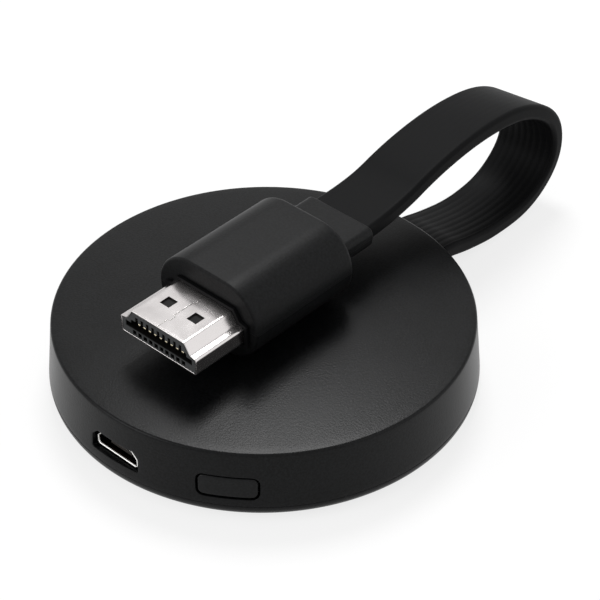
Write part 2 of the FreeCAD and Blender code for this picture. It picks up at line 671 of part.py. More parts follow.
def make_front_cover():
    """Shallow dish that closes the puck, with its lip and the heat spreader's posts."""
    body = new_body("front_cover")
    profile = sketch_on(body, "front_profile", "XZ_Plane")
    lip = f"({INNER_SEAM} - fit_gap)"
    lip_top = "seam_height + lip_height"
    slope = "atan(edge_rise / (seam_radius - foot_radius))"
    turn_at = "(seam_radius - edge_round)"
    turn_up = (
        f"((edge_rise * ({turn_at} - foot_radius) / (seam_radius - foot_radius))"
        f" + edge_round / cos({slope}))"
    )
    corner = [
        (f"{turn_at} + edge_round * sin({angle})", f"{turn_up} - edge_round * cos({angle})")
        for angle in (slope, f"(45 deg + {slope} / 2)", "(90 deg)")
    ]
    outline(
        profile,
        (
            ("0", "0"),
            ("foot_radius", "0"),
            *corner,
            ("seam_radius", "seam_height"),
            (lip, "seam_height"),
            (f"{lip} - {TAPER} * lip_height", lip_top),
            (f"{lip} - lip_wall", lip_top),
            (f"{lip} - lip_wall", "floor_wall"),
            ("0", "floor_wall"),
        ),
    )
    revolve(body, "front_turned", profile)

    notch = sketch_on(body, "button_notch", "XY_Plane", lift="seam_height", turn=BUTTON_TURN)
    rectangle(
        notch, f"({FLANGE_WIDTH} + 6 * fit_gap)", "lip_notch", up=f"(lip_notch / 2 - {INNER_SEAM})"
    )
    pocket(body, "button_notch_cut", notch, "lip_height + 1", along=True)

    gland_notch = sketch_on(body, "gland_notch", "XY_Plane", lift="floor_wall")
    rectangle(
        gland_notch,
        f"(2 * {GLAND_HALF_FLANGE} + 6 * fit_gap)",
        f"({INNER_SEAM} - {GLAND_BACK})",
        up=f"(({INNER_SEAM} + {GLAND_BACK}) / 2)",
    )
    pocket(body, "gland_notch_cut", gland_notch, "seam_height + lip_height", along=True)

    post = sketch_on(body, "post_plan", "XY_Plane", lift="floor_wall / 2")
    circle(post, "post_radius", POST_AT, POST_AT)
    post_pad = pad(body, "post", post, f"{SPREADER_BOTTOM} - floor_wall / 2")
    around(body, "posts", [post_pad], "4")
    peg = sketch_on(body, "peg_plan", "XY_Plane", lift="floor_wall")
    circle(peg, "peg_radius", POST_AT, POST_AT)
    peg_pad = pad(body, "peg", peg, f"{SPREADER_TOP} - floor_wall")
    around(body, "pegs", [peg_pad], "2")
    return node(body, "front_cover")


# Main board and what is soldered to it

def make_main_board():
    body = new_body("main_board")
    disc = sketch_on(body, "board_plan", "XY_Plane", lift=BOARD_BOTTOM)
    circle(disc, BOARD_RADIUS)
    pad(body, "board", disc, "board_thickness")

    notch = sketch_on(body, "board_notch", "XY_Plane", lift=BOARD_BOTTOM, turn=BUTTON_TURN)
    inner = f"({PUSHER_TIP} - press_travel - fit_gap)"
    rectangle(
        notch,
        f"({FLANGE_WIDTH} + 6 * fit_gap)",
        f"({BOARD_RADIUS} - {inner} + 1)",
        up=f"(-({BOARD_RADIUS} + 1 + {inner}) / 2)",
    )
    pocket(body, "board_notch_cut", notch, "board_thickness", along=True)

    hole = sketch_on(body, "board_hole_plan", "XY_Plane", lift=BOARD_BOTTOM)
    circle(hole, "screw_radius + fit_gap", BOSS_X, BOSS_Y)
    cut = pocket(body, "board_hole", hole, "board_thickness", along=True)
    around(body, "board_holes", [cut], "3")
    return node(body, "main_board")


def make_screws():
    """Three pan-head screws, driven from below through the board into the bosses."""
    body = new_body("board_screws")
    head = sketch_on(body, "head_plan", "XY_Plane", lift=f"{BOARD_BOTTOM} - screw_head_height")
    circle(head, "screw_head_radius", BOSS_X, BOSS_Y)
    head_pad = pad(body, "screw_head", head, "screw_head_height")
    shank = sketch_on(body, "shank_plan", "XY_Plane", lift=BOARD_BOTTOM)
    circle(shank, "screw_radius", BOSS_X, BOSS_Y)
    shank_pad = pad(body, "screw_shank", shank, "board_thickness + screw_depth")
    recess = sketch_on(
        body, "recess_plan", "XY_Plane", lift=f"{BOARD_BOTTOM} - screw_head_height"
    )
    arm, slit = "(screw_head_radius * 0.6)", "(screw_radius * 0.25)"
    cross = (
        (arm, slit), (slit, slit), (slit, arm), (f"-{slit}", arm), (f"-{slit}", slit),
        (f"-{arm}", slit), (f"-{arm}", f"-{slit}"), (f"-{slit}", f"-{slit}"),
        (f"-{slit}", f"-{arm}"), (slit, f"-{arm}"), (slit, f"-{slit}"), (arm, f"-{slit}"),
    )
    outline(recess, [(f"{BOSS_X} + {across}", f"{BOSS_Y} + {up}") for across, up in cross])
    recess_cut = pocket(body, "screw_recess", recess, "screw_recess", along=True)
    around(body, "screws", [head_pad, shank_pad, recess_cut], "3")
    return node(body, "board_screws")


def make_chip(name, length, width, height, across, along, up):
    """A flat moulded chip with a bevelled first corner."""
    body = new_body(name)
    plan = sketch_on(body, name + "_plan", "XY_Plane", lift=up)
    bevel = f"(({width}) / 12)"
    left, right = f"{across} - ({length}) / 2", f"{across} + ({length}) / 2"
    low, high = f"{along} - ({width}) / 2", f"{along} + ({width}) / 2"
    outline(
        plan,
        ((left, low), (right, low), (right, high), (f"{left} + {bevel}", high),
         (left, f"{high} - {bevel}")),
    )
    pad(body, name + "_pad", plan, height)
    return node(body, name)


def make_shield_frame():
    """Soldered sheet-metal wall round the processor and the memory."""
    body = new_body("shield_frame")
    plan = sketch_on(body, "frame_plan", "XY_Plane", lift=LID_UPPER)
    rounded_rectangle(plan, "shield_length", "shield_width", "shield_corner", up="shield_shift")
    pad(body, "frame_wall", plan, f"{BOARD_BOTTOM} - {LID_UPPER}")
    inside = sketch_on(body, "frame_inside", "XY_Plane", lift=LID_UPPER)
    rounded_rectangle(
        inside,
        "shield_length - 2 * shield_sheet",
        "shield_width - 2 * shield_sheet",
        "(shield_corner - shield_sheet)",
        up="shield_shift",
    )
    pocket(body, "frame_hollow", inside, f"{BOARD_BOTTOM} - {LID_UPPER}", along=True)
    return node(body, "shield_frame")


def make_shield_lid():
    """Clip-on lid with a skirt and two rows of vent slots."""
    body = new_body("shield_lid")
    grow = "2 * (shield_sheet + fit_gap)"
    plan = sketch_on(body, "lid_plan", "XY_Plane", lift=LID_LOWER)
    rounded_rectangle(
        plan,
        f"shield_length + {grow}",
        f"shield_width + {grow}",
        "(shield_corner + fit_gap + shield_sheet)",
        up="shield_shift",
    )
    pad(body, "lid_plate", plan, "shield_sheet + shield_skirt")
    inside = sketch_on(body, "lid_inside", "XY_Plane", lift=LID_UPPER)
    rounded_rectangle(
        inside,
        "shield_length + 2 * fit_gap",
        "shield_width + 2 * fit_gap",
        "(shield_corner + fit_gap)",
        up="shield_shift",
    )
    pocket(body, "lid_hollow", inside, "shield_skirt", along=True)
    vent = sketch_on(body, "vent_plan", "XY_Plane", lift=LID_LOWER)
    side = "(shield_width / 2 - vent_length)"
    for up in (f"(shield_shift + {side})", f"(shield_shift - {side})"):
        rectangle(
            vent, "vent_width", "vent_length",
            across="(-vent_pitch * (vent_count - 1) / 2)", up=up,
        )
    hole = pocket(body, "vent", vent, "shield_sheet", along=True)
    in_row(body, "vents", [hole], "vent_pitch", "vent_count")
    return node(body, "shield_lid")


def make_heat_spreader():
    """Stamped plate on the front cover's four posts, staked on two pegs."""
    body = new_body("heat_spreader")
    plate = sketch_on(body, "spreader_plan", "XY_Plane", lift=SPREADER_BOTTOM)
    half, cut = "(spreader_side / 2)", "(spreader_side / 2 - spreader_bevel)"
    outline(
        plate,
        (
            (f"-{cut}", f"-{half}"), (cut, f"-{half}"), (half, f"-{cut}"), (half, cut),
            (cut, half), (f"-{cut}", half), (f"-{half}", cut), (f"-{half}", f"-{cut}"),
        ),
    )
    pad(body, "spreader", plate, "spreader_thickness")
    hole = sketch_on(body, "spreader_hole_plan", "XY_Plane", lift=SPREADER_BOTTOM)
    circle(hole, "peg_radius + fit_gap / 2", POST_AT, POST_AT)
    peg_hole = pocket(body, "spreader_hole", hole, "spreader_thickness", along=True)
    around(body, "spreader_holes", [peg_hole], "2")
    return node(body, "heat_spreader")


def make_radio_module():
    """Small board with its own metal can."""
    body = new_body("radio_module")
    base = sketch_on(body, "radio_base_plan", "XY_Plane", lift=BOARD_TOP)
    rectangle(base, "radio_side", "radio_side", across="radio_from_middle")
    pad(body, "radio_base", base, "radio_base")
    can = sketch_on(body, "radio_can_plan", "XY_Plane", lift=f"{BOARD_TOP} + radio_base")
    side = "radio_side - 2 * radio_margin"
    rounded_rectangle(can, side, side, "radio_corner", across="radio_from_middle")
    pad(body, "radio_can", can, "radio_can")
    return node(body, "radio_module")


def make_small_parts():
    """Chips, inductors, regulators, capacitors and crystal, each kind a node."""
    make_chip(
        "processor", "processor_side", "processor_side", "processor_height",
        "(-processor_shift)", "shield_shift", PROCESSOR_FACE,
    )
    make_chip(
        "memory_chip", "memory_length", "memory_width", "memory_height",
        "memory_shift", "shield_shift", f"{BOARD_BOTTOM} - memory_height",
    )
    make_chip(
        "flash_chip", "flash_length", "flash_width", "flash_height",
        "(-flash_from_middle)", "0", BOARD_TOP,
    )
    node(
        block("thermal_pad", "processor_side", "processor_side", "pad_thickness",
              "(-processor_shift)", "shield_shift", LID_UPPER),
        "thermal_pad",
    )
    node(
        block("gap_pad", "gap_pad_side", "gap_pad_side", "gap_pad_thickness",
              "(-processor_shift)", "shield_shift", SPREADER_TOP),
        "gap_pad",
    )
    node(
        block("crystal", "crystal_length", "crystal_width", "crystal_height",
              "0", "crystal_from_middle", BOARD_TOP),
        "crystal",
    )

    inductors = new_body("power_inductors")
    plan = sketch_on(
        inductors, "inductor_plan", "XY_Plane", lift=f"{BOARD_BOTTOM} - inductor_height"
    )
    corner = "(inductor_side / 5)"
    first = f"(-{INDUCTOR_PITCH} / 2)"
    low = "(-inductor_from_middle)"
    half = "inductor_side / 2"
    outline(
        plan,
        (
            (f"{first} - {half} + {corner}", f"{low} - {half}"),
            (f"{first} + {half} - {corner}", f"{low} - {half}"),
            (f"{first} + {half}", f"{low} - {half} + {corner}"),
            (f"{first} + {half}", f"{low} + {half} - {corner}"),
            (f"{first} + {half} - {corner}", f"{low} + {half}"),
            (f"{first} - {half} + {corner}", f"{low} + {half}"),
            (f"{first} - {half}", f"{low} + {half} - {corner}"),
            (f"{first} - {half}", f"{low} - {half} + {corner}"),
        ),
    )
    one = pad(inductors, "inductor", plan, "inductor_height")
    in_row(inductors, "inductor_pair", [one], INDUCTOR_PITCH, "2")
    node(inductors, "power_inductors")

    regulators = new_body("voltage_regulators")
    plan = sketch_on(
        regulators, "regulator_plan", "XY_Plane", lift=f"{BOARD_BOTTOM} - regulator_height"
    )
    rectangle(
        plan, "regulator_side", "regulator_side",
        across=f"(-{INDUCTOR_PITCH} / 2)", up="(-regulator_from_middle)",
    )
    one = pad(regulators, "regulator", plan, "regulator_height")
    in_row(regulators, "regulator_pair", [one], INDUCTOR_PITCH, "2")
    node(regulators, "voltage_regulators")

    capacitors = new_body("capacitors")
    plan = sketch_on(
        capacitors, "capacitor_plan", "XY_Plane", lift=f"{BOARD_BOTTOM} - capacitor_height"
    )
    for up in ("(-capacitor_front)", "capacitor_rear", "(capacitor_rear + capacitor_gap)"):
        rectangle(
            plan, "capacitor_width", "capacitor_length",
            across="(-capacitor_pitch * (capacitor_count - 1) / 2)", up=up,
        )
    one = pad(capacitors, "capacitor", plan, "capacitor_height")
    in_row(capacitors, "capacitor_rows", [one], "capacitor_pitch", "capacitor_count")
    node(capacitors, "capacitors")


def make_antennas():
    """Two bent sheet-metal antennas on the upper face, one on each side of the board."""
    body = new_body("antennas")
    top = f"{BOARD_TOP} + antenna_height - antenna_sheet"
    near = f"({BOARD_RADIUS} - antenna_inset - antenna_depth / 2)"
    far = f"({BOARD_RADIUS} - antenna_inset + antenna_depth / 2)"
    end = "(antenna_length / 2)"
    plate = sketch_on(body, "antenna_plate_plan", "XY_Plane", lift=top)
    outline(
        plate,
        (
            (near, f"-{end}"), (far, f"-{end}"), (far, end), (near, end),
            (near, f"{end} - antenna_tip"), (f"{far} - antenna_bar", f"{end} - antenna_tip"),
            (f"{far} - antenna_bar", f"antenna_foot - {end}"), (near, f"antenna_foot - {end}"),
        ),
    )
    plate_pad = pad(body, "antenna_plate", plate, "antenna_sheet")
    legs = sketch_on(body, "antenna_leg_plan", "XY_Plane", lift=BOARD_TOP)
    for up in (f"(antenna_foot / 4 - {end})", f"(antenna_foot * 3 / 4 - {end})"):
        rectangle(
            legs, "antenna_sheet", "antenna_bar", across=f"({near} + antenna_sheet / 2)", up=up
        )
    leg_pad = pad(body, "antenna_legs", legs, "antenna_height - antenna_sheet")
    around(body, "antenna_pair", [plate_pad, leg_pad], "2")
    return node(body, "antennas")


# Power port

def port_outline(sketch, inset):
    """The port's section, its bevelled corners towards the board, drawn in by an inset."""
    half = f"(port_width / 2 - ({inset}))"
    low, high = f"({PORT_BOTTOM} + ({inset}))", f"({BOARD_BOTTOM} - ({inset}))"
    bevel = f"(port_bevel - ({inset}) * (2 - sqrt(2)))"
    outline(
        sketch,
        (
            (f"port_shift - {half}", low),
            (f"port_shift + {half}", low),
            (f"port_shift + {half}", f"{high} - {bevel}"),
            (f"port_shift + {half} - {bevel}", high),
            (f"port_shift - {half} + {bevel}", high),
            (f"port_shift - {half}", f"{high} - {bevel}"),
        ),
    )


def make_port():
    """Stamped shell, plastic tongue and five contacts of the power port."""
    shell = new_body("port_shell")
    section = sketch_on(shell, "port_section", "XZ_Plane", lift=PORT_MOUTH)
    port_outline(section, "0")
    pad(shell, "port_tube", section, "port_length", against=True)
    hollow = sketch_on(shell, "port_hollow", "XZ_Plane", lift=PORT_MOUTH)
    port_outline(hollow, "port_wall")
    pocket(shell, "port_bore", hollow, "port_length")
    tabs = sketch_on(shell, "port_tab_plan", "XY_Plane", lift=f"{BOARD_BOTTOM} - port_wall")
    inner = "(port_width / 2 - port_bevel)"
    for along in (f"(port_tab_first - {PORT_MOUTH})", f"(port_tab_second - {PORT_MOUTH})"):
        for sign in ("-", ""):
            rectangle(
                tabs,
                "(port_bevel + port_tab_width)",
                "port_tab_length",
                across=f"(port_shift + {sign}({inner} + (port_bevel + port_tab_width) / 2))",
                up=along,
            )
    pad(shell, "port_tabs", tabs, "port_wall")
    node(shell, "port_shell")

    tongue = new_body("port_tongue")
    tongue_low = f"({PORT_BOTTOM} + port_wall + tongue_lift)"
    rear = f"({PORT_MOUTH} - port_length)"
    back = sketch_on(tongue, "port_block_section", "XZ_Plane", lift=rear)
    port_outline(back, "port_wall + fit_gap / 2")
    pad(tongue, "port_block", back, "port_block")
    blade = sketch_on(tongue, "tongue_section", "XZ_Plane", lift=rear)
    rectangle(
        blade, "tongue_width", "tongue_thickness",
        across="port_shift", up=f"({tongue_low} + tongue_thickness / 2)",
    )
    pad(tongue, "tongue", blade, "port_length - tongue_recess")
    pin_low = f"({tongue_low} + tongue_thickness - port_pin_thickness)"
    groove = sketch_on(tongue, "tongue_groove_section", "XZ_Plane", lift=rear)
    rectangle(
        groove, "port_pin_width", "port_pin_thickness",
        across="(port_shift - port_pin_pitch * (port_pin_count - 1) / 2)",
        up=f"({pin_low} + port_pin_thickness / 2)",
    )
    cut = pocket(tongue, "tongue_groove", groove, "port_length - 2 * tongue_recess", along=True)
    in_row(tongue, "tongue_grooves", [cut], "port_pin_pitch", "port_pin_count")
    node(tongue, "port_tongue")

    pins = new_body("port_contacts")
    strip = sketch_on(pins, "port_pin_section", "XZ_Plane", lift=f"{rear} - port_pin_tail")
    rectangle(
        strip, "port_pin_width", "port_pin_thickness",
        across="(port_shift - port_pin_pitch * (port_pin_count - 1) / 2)",
        up=f"({pin_low} + port_pin_thickness / 2)",
    )
    strip_pad = pad(pins, "port_pin", strip, "port_length - 2 * tongue_recess + port_pin_tail")
    leg = sketch_on(pins, "port_leg_section", "XZ_Plane", lift=f"{rear} - port_pin_tail")
    rectangle(
        leg, "port_pin_width", f"({BOARD_BOTTOM} - {pin_low})",
        across="(port_shift - port_pin_pitch * (port_pin_count - 1) / 2)",
        up=f"(({BOARD_BOTTOM} + {pin_low}) / 2)",
    )
    leg_pad = pad(pins, "port_leg", leg, "port_pin_thickness * 2")
    in_row(pins, "port_pins", [strip_pad, leg_pad], "port_pin_pitch", "port_pin_count")
    node(pins, "port_contacts")


# Button and switch, each set out facing -Y and turned to its place

def make_button():
    cap = new_body("button_cap")
    flange = sketch_on(cap, "flange_section", "XZ_Plane", lift=f"{FLANGE_FACE} - flange_thickness")
    rounded_rectangle(
        flange, FLANGE_WIDTH, FLANGE_HEIGHT, "(button_corner + button_flange)", up="button_level"
    )
    pad(cap, "flange", flange, "flange_thickness")
    face = sketch_on(cap, "cap_section", "XZ_Plane", lift=f"{FLANGE_FACE} - flange_thickness")
    rounded_rectangle(face, "button_width", "button_height", "button_corner", up="button_level")
    pad(cap, "cap", face, f"seam_radius + 1 - {FLANGE_FACE} + flange_thickness")
    trim = sketch_on(cap, "cap_trim_profile", "XZ_Plane")
    outline(
        trim,
        (
            (f"seam_radius + {TAPER} * seam_height", "0"),
            ("seam_radius + wall * 3", "0"),
            ("seam_radius + wall * 3", "rim_height"),
            (RIM_RADIUS, "rim_height"),
        ),
    )
    groove = cap.newObject("PartDesign::Groove", "cap_trim")
    groove.Profile = trim
    groove.ReferenceAxis = (trim, ["V_Axis"])
    groove.Angle = 360
    doc.recompute()

    pusher = sketch_on(cap, "pusher_section", "XZ_Plane", lift=PUSHER_TIP)
    circle(pusher, "pusher_radius", up="button_level")
    pad(cap, "pusher", pusher, "pusher_length")
    place(cap, turn=BUTTON_TURN)
    node(cap, "button_cap")

    low = f"({BOARD_BOTTOM} - switch_height)"
    house = new_body("switch_body")
    section = sketch_on(house, "switch_section", "XZ_Plane", lift=f"{SWITCH_FRONT} - switch_depth")
    rectangle(section, "switch_width", "switch_height", up=f"({low} + switch_height / 2)")
    pad(house, "switch_block", section, "switch_depth")
    bore = sketch_on(house, "plunger_bore_section", "XZ_Plane", lift=SWITCH_FRONT)
    rectangle(
        bore, "(plunger_width + 2 * fit_gap)", "(plunger_height + 2 * fit_gap)", up="button_level"
    )
    pocket(house, "plunger_bore", bore, "plunger_tail + press_travel + fit_gap")
    place(house, turn=BUTTON_TURN)
    node(house, "switch_body")

    cover = new_body("switch_cover")
    outer = sketch_on(cover, "cover_section", "XZ_Plane", lift=f"{SWITCH_FRONT} - switch_depth")
    wide = "(switch_width / 2 + cover_sheet)"
    inner = "(switch_width / 2)"
    outline(
        outer,
        (
            (f"-{wide}", f"{low} - cover_sheet"), (wide, f"{low} - cover_sheet"),
            (wide, BOARD_BOTTOM), (inner, BOARD_BOTTOM), (inner, low),
            (f"-{inner}", low), (f"-{inner}", BOARD_BOTTOM), (f"-{wide}", BOARD_BOTTOM),
        ),
    )
    pad(cover, "cover_sheet_metal", outer, "switch_depth - fit_gap")
    place(cover, turn=BUTTON_TURN)
    node(cover, "switch_cover")

    plunger = new_body("switch_plunger")
    stem = sketch_on(plunger, "plunger_section", "XZ_Plane", lift=f"{SWITCH_FRONT} - plunger_tail")
    rounded_rectangle(
        stem, "plunger_width", "plunger_height", "plunger_corner", up="button_level"
    )
    pad(plunger, "plunger", stem, "plunger_tail + plunger_reach")
    place(plunger, turn=BUTTON_TURN)
    node(plunger, "switch_plunger")


# Cable, gland and the cable's cores inside the puck

def make_gland():
    """Rubber gland: a neck in the wall's slot, a nose outside and a flange inside."""
    body = new_body("cable_gland")
    inner = sketch_on(body, "gland_flange_section", "XZ_Plane", lift=f"-{GLAND_BACK}")
    rounded_rectangle(
        inner,
        f"2 * {GLAND_HALF_FLANGE}",
        f"{GLAND_HEIGHT} + gland_flange",
        "gland_corner",
        up="cable_level",
    )
    pad(body, "gland_flange", inner, "gland_flange_depth", against=True)
    neck = sketch_on(body, "gland_neck_section", "XZ_Plane", lift=f"-{GLAND_BACK}")
    rounded_rectangle(neck, "gland_width", GLAND_HEIGHT, "gland_corner", up="cable_level")
    pad(body, "gland_neck", neck, f"{GLAND_OUTER} - {GLAND_BACK}", against=True)
    nose = amount_of(GLAND_OUTER)
    dress(body, "Chamfer", "gland_nose", "gland_chamfer", lambda edge: depth_at(edge, nose))
    return node(body, "cable_gland")


def make_inner_cores():
    """The cable's cores from the gland to their header on the board, and the header."""
    front = f"({GLAND_BACK} - core_bare)"
    header = new_body("cable_header")
    section = sketch_on(header, "header_section", "XZ_Plane", lift=f"-{front}")
    header_low = "(cable_level - core_radius - wall / 4)"
    rectangle(
        section, "header_width", f"({BOARD_BOTTOM} - {header_low})",
        up=f"(({BOARD_BOTTOM} + {header_low}) / 2)",
    )
    pad(header, "header_block", section, "header_depth")
    slot = sketch_on(header, "header_slot_section", "XZ_Plane", lift=f"-{front}")
    slot_top = "(cable_level + core_radius + screw_gap)"
    rectangle(
        slot, "(2 * (core_radius + screw_gap))", f"({slot_top} - {header_low})",
        across=FIRST_CORE, up=f"(({slot_top} + {header_low}) / 2)",
    )
    cut = pocket(header, "header_slot", slot, "header_bite", along=True)
    in_row(header, "header_slots", [cut], "core_pitch", "core_count")
    node(header, "cable_header")

    cores = new_body("cable_cores")
    section = sketch_on(cores, "core_section", "XZ_Plane", lift=f"-{GLAND_BACK}")
    circle(section, "core_radius", FIRST_CORE, "cable_level")
    one = pad(cores, "core", section, "core_bare + header_bite")
    in_row(cores, "core_row", [one], "core_pitch", "core_count")
    node(cores, "cable_cores")


def route_points():
    """The cable's route in the Y-Z plane, from the gland's nose to the plug's sleeve."""
    exit_at = (amount_of(GLAND_OUTER), amount_of("cable_level"))
    enter_at = (amount_of(f"{SLEEVE_END} - plug_tip"), amount_of(PLUG_LEVEL))
    points = [exit_at, (exit_at[0] + FIRST_RUN, exit_at[1])]
    points += LOOP
    points += [(enter_at[0] + LAST_RUN, enter_at[1]), enter_at]
    return [Vector(0, along, up) for along, up in points]


def make_flat_cable():
    """Flat cable swept along straight runs joined by tangent arcs. Each arc is as large
    as its two runs allow."""
    points = route_points()
    edges = []
    radii = []
    start = points[0]
    for before, corner, after in zip(points, points[1:], points[2:]):
        came, goes = (corner - before), (after - corner)
        shorter = min(came.Length, goes.Length)
        half_turn = came.getAngle(goes) / 2
        radius = ARC_SHARE * shorter / math.tan(half_turn)
        trim = ARC_SHARE * shorter
        came.normalize()
        goes.normalize()
        arc_start, arc_end = corner - came * trim, corner + goes * trim
        inward = (goes - came).normalize()
        middle = corner + inward * (radius / math.cos(half_turn) - radius)
        edges.append(Part.LineSegment(start, arc_start).toShape())
        edges.append(Part.Arc(arc_start, middle, arc_end).toShape())
        start = arc_end
        radii.append(radius)
    edges.append(Part.LineSegment(start, points[-1]).toShape())
    path = Part.Wire(edges)

    wide, thick = amount_of("cable_width") / 2, amount_of("cable_thickness") / 2
    bevel = amount_of("cable_bevel")
    right = ((wide - bevel, -thick), (wide, bevel - thick), (wide, thick - bevel),
             (wide - bevel, thick))
    ring = list(right) + [(-across, up) for across, up in reversed(right)]
    section = Part.makePolygon(
        [points[0] + Vector(across, 0, up) for across, up in ring + ring[:1]]
    )
    solid = path.makePipeShell([section], True, False)
    if solid.Volume < 0:
        solid.reverse()
    expected = Part.Face(section).Area * path.Length
    print("cable length %.2f mm, volume %.2f of %.2f" % (path.Length, solid.Volume, expected))
    print("cable radii", [round(radius, 1) for radius in radii])
    made = doc.addObject("Part::Feature", "flat_cable_solid")
    made.Shape = solid
    return node(made, "flat_cable")


# Plug, set out from the tip of its shell: +Y towards the cable, the narrow face up

def drawn_in(across, up, first, second, inset):
    """A corner moved inward by an inset between two sides that rise at given angles."""
    mean, half = f"((({first}) + ({second})) / 2)", f"((({first}) - ({second})) / 2)"
    return (
        f"({across}) - ({inset}) * sin({mean}) / cos({half})",
        f"({up}) - ({inset}) * cos({mean}) / cos({half})",
    )


def plug_outline(sketch, inset):
    """The plug's D-shaped section with its two ledges, drawn in by an inset."""
    low = "(-shell_height / 2)"
    right = (
        (f"shell_width / 2 - ({inset})", f"{low} + ({inset})"),
        drawn_in("shell_width / 2", f"{low} + shell_side", "90 deg", LEDGE_ANGLE, inset),
        drawn_in(
            "shell_width / 2 - shell_ledge",
            f"{low} + shell_side + shell_ledge_rise",
            LEDGE_ANGLE, SLOPE_ANGLE, inset,
        ),
        drawn_in("shell_narrow / 2", "shell_height / 2", SLOPE_ANGLE, "0 deg", inset),
    )
    left = [(f"-({across})", up) for across, up in reversed(right)]
    outline(sketch, list(right) + left)


def round_plug_corners(body, name, radius, depth):
    """Round the long edges of a plug section, except at the two ledges."""
    ledge = amount_of("shell_width / 2 - shell_ledge")
    spread = 0.3

    def corner_edge(edge):
        if not runs_along(edge, ALONG_Y) or edge.BoundBox.YMin > depth:
            return False
        return abs(abs(edge.BoundBox.Center.x) - ledge) > spread

    dress(body, "Fillet", name, radius, corner_edge)


def at_plug(body):
    place(body, along="-plug_tip", up=PLUG_LEVEL)


def make_plug_shell():
    """Stamped shell of the plug with four latch windows."""
    body = new_body("plug_shell")
    section = sketch_on(body, "shell_section", "XZ_Plane")
    plug_outline(section, "0")
    pad(body, "shell_solid", section, "shell_length", against=True)
    round_plug_corners(body, "shell_corners", "shell_round / 2", 0.1)
    hollow = sketch_on(body, "shell_hollow_section", "XZ_Plane")
    plug_outline(hollow, "shell_wall")
    pocket(body, "shell_hollow", hollow, "shell_length")
    latch = sketch_on(body, "latch_plan", "XY_Plane", lift="-shell_height")
    for sign in ("-", ""):
        rectangle(
            latch, "latch_width", "latch_length",
            across=f"({sign}latch_spread / 2)", up="(latch_from_tip + latch_length / 2)",
        )
    pocket(body, "latch_windows", latch, "2 * shell_height", along=True)
    at_plug(body)
    return node(body, "plug_shell")


UPPER_WALL = "(slot_height / 2)"
CHANNEL_LOW = "(-slot_height / 2 - channel_web - channel_height)"


def contact_row(body, name, count, lift, height_low, width, height):
    """A row of strips or grooves along the plug, centred on its middle."""
    strip = sketch_on(body, name + "_section", "XZ_Plane", lift=lift)
    rectangle(
        strip, width, height,
        across=f"(-contact_pitch * ({count} - 1) / 2)", up=f"({height_low} + ({height}) / 2)",
    )
    return strip


def make_contact_block():
    """Plastic block with its slot, nine grooves above and ten channels below."""
    body = new_body("plug_contact_block")
    front = "(-block_recess)"
    section = sketch_on(body, "block_section", "XZ_Plane", lift=front)
    plug_outline(section, "shell_wall + block_gap")
    pad(body, "block_solid", section, "block_length", against=True)
    slot = sketch_on(body, "block_slot_section", "XZ_Plane", lift=front)
    wide, roof = "(slot_width / 2)", "(slot_height / 2)"
    step = f"({wide} - slot_step)"
    right = [(wide, f"-{roof}"), (wide, "0"), (step, "0"), (step, roof)]
    outline(slot, right + [(f"-{across}", up) for across, up in reversed(right)])
    pocket(body, "block_slot", slot, "slot_depth")
    upper = contact_row(
        body, "upper_groove", "upper_count", front, UPPER_WALL, "groove_width", "groove_height"
    )
    upper_cut = pocket(body, "upper_groove", upper, "block_length")
    in_row(body, "upper_grooves", [upper_cut], "contact_pitch", "upper_count")
    lower = contact_row(
        body, "lower_channel", "lower_count", front, CHANNEL_LOW, "groove_width", "channel_height"
    )
    lower_cut = pocket(body, "lower_channel", lower, "block_length")
    in_row(body, "lower_channels", [lower_cut], "contact_pitch", "lower_count")
    at_plug(body)
    return node(body, "plug_contact_block")


def make_plug_contacts():
    """Nine contacts above the slot and ten below it."""
    start = "(-(block_recess + contact_recess))"
    length = f"{COMB_FRONT} - block_recess - contact_recess"
    upper = new_body("plug_upper_contacts")
    strip = contact_row(
        upper, "upper_contact", "upper_count", start, UPPER_WALL, "contact_width",
        "contact_thickness",
    )
    one = pad(upper, "upper_contact", strip, length, against=True)
    in_row(upper, "upper_contacts", [one], "contact_pitch", "upper_count")
    at_plug(upper)
    node(upper, "plug_upper_contacts")

    lower = new_body("plug_lower_contacts")
    strip = contact_row(
        lower, "lower_contact", "lower_count", start, CHANNEL_LOW, "contact_width",
        "contact_thickness",
    )
    one = pad(lower, "lower_contact", strip, length, against=True)
    in_row(lower, "lower_contacts", [one], "contact_pitch", "lower_count")
    at_plug(lower)
    node(lower, "plug_lower_contacts")


def make_core_comb():
    """Plastic comb with open slots that space the cores behind the contacts."""
    body = new_body("plug_core_comb")
    section = sketch_on(body, "comb_section", "XZ_Plane", lift=f"-{COMB_FRONT}")
    rounded_rectangle(section, "comb_width", "comb_height", "comb_corner")
    pad(body, "comb_solid", section, "comb_length", against=True)
    slot = sketch_on(body, "comb_slot_section", "XZ_Plane", lift=f"-{COMB_FRONT}")
    rectangle(
        slot, "(2 * (core_radius + screw_gap))", "(comb_height / 2 + core_radius + screw_gap)",
        across=FIRST_CORE, up="((comb_height / 2 - core_radius - screw_gap) / 2)",
    )
    cut = pocket(body, "comb_slot", slot, "comb_length")
    in_row(body, "comb_slots", [cut], "core_pitch", "core_count")
    at_plug(body)
    return node(body, "plug_core_comb")


def make_plug_cores():
    """Cores from the comb through the boot to the end of the cable's jacket."""
    body = new_body("plug_cores")
    section = sketch_on(body, "plug_core_section", "XZ_Plane", lift=f"-{COMB_FRONT}")
    circle(section, "core_radius", FIRST_CORE)
    one = pad(body, "plug_core", section, f"{SLEEVE_END} - {COMB_FRONT}", against=True)
    in_row(body, "plug_core_row", [one], "core_pitch", "core_count")
    at_plug(body)
    return node(body, "plug_cores")


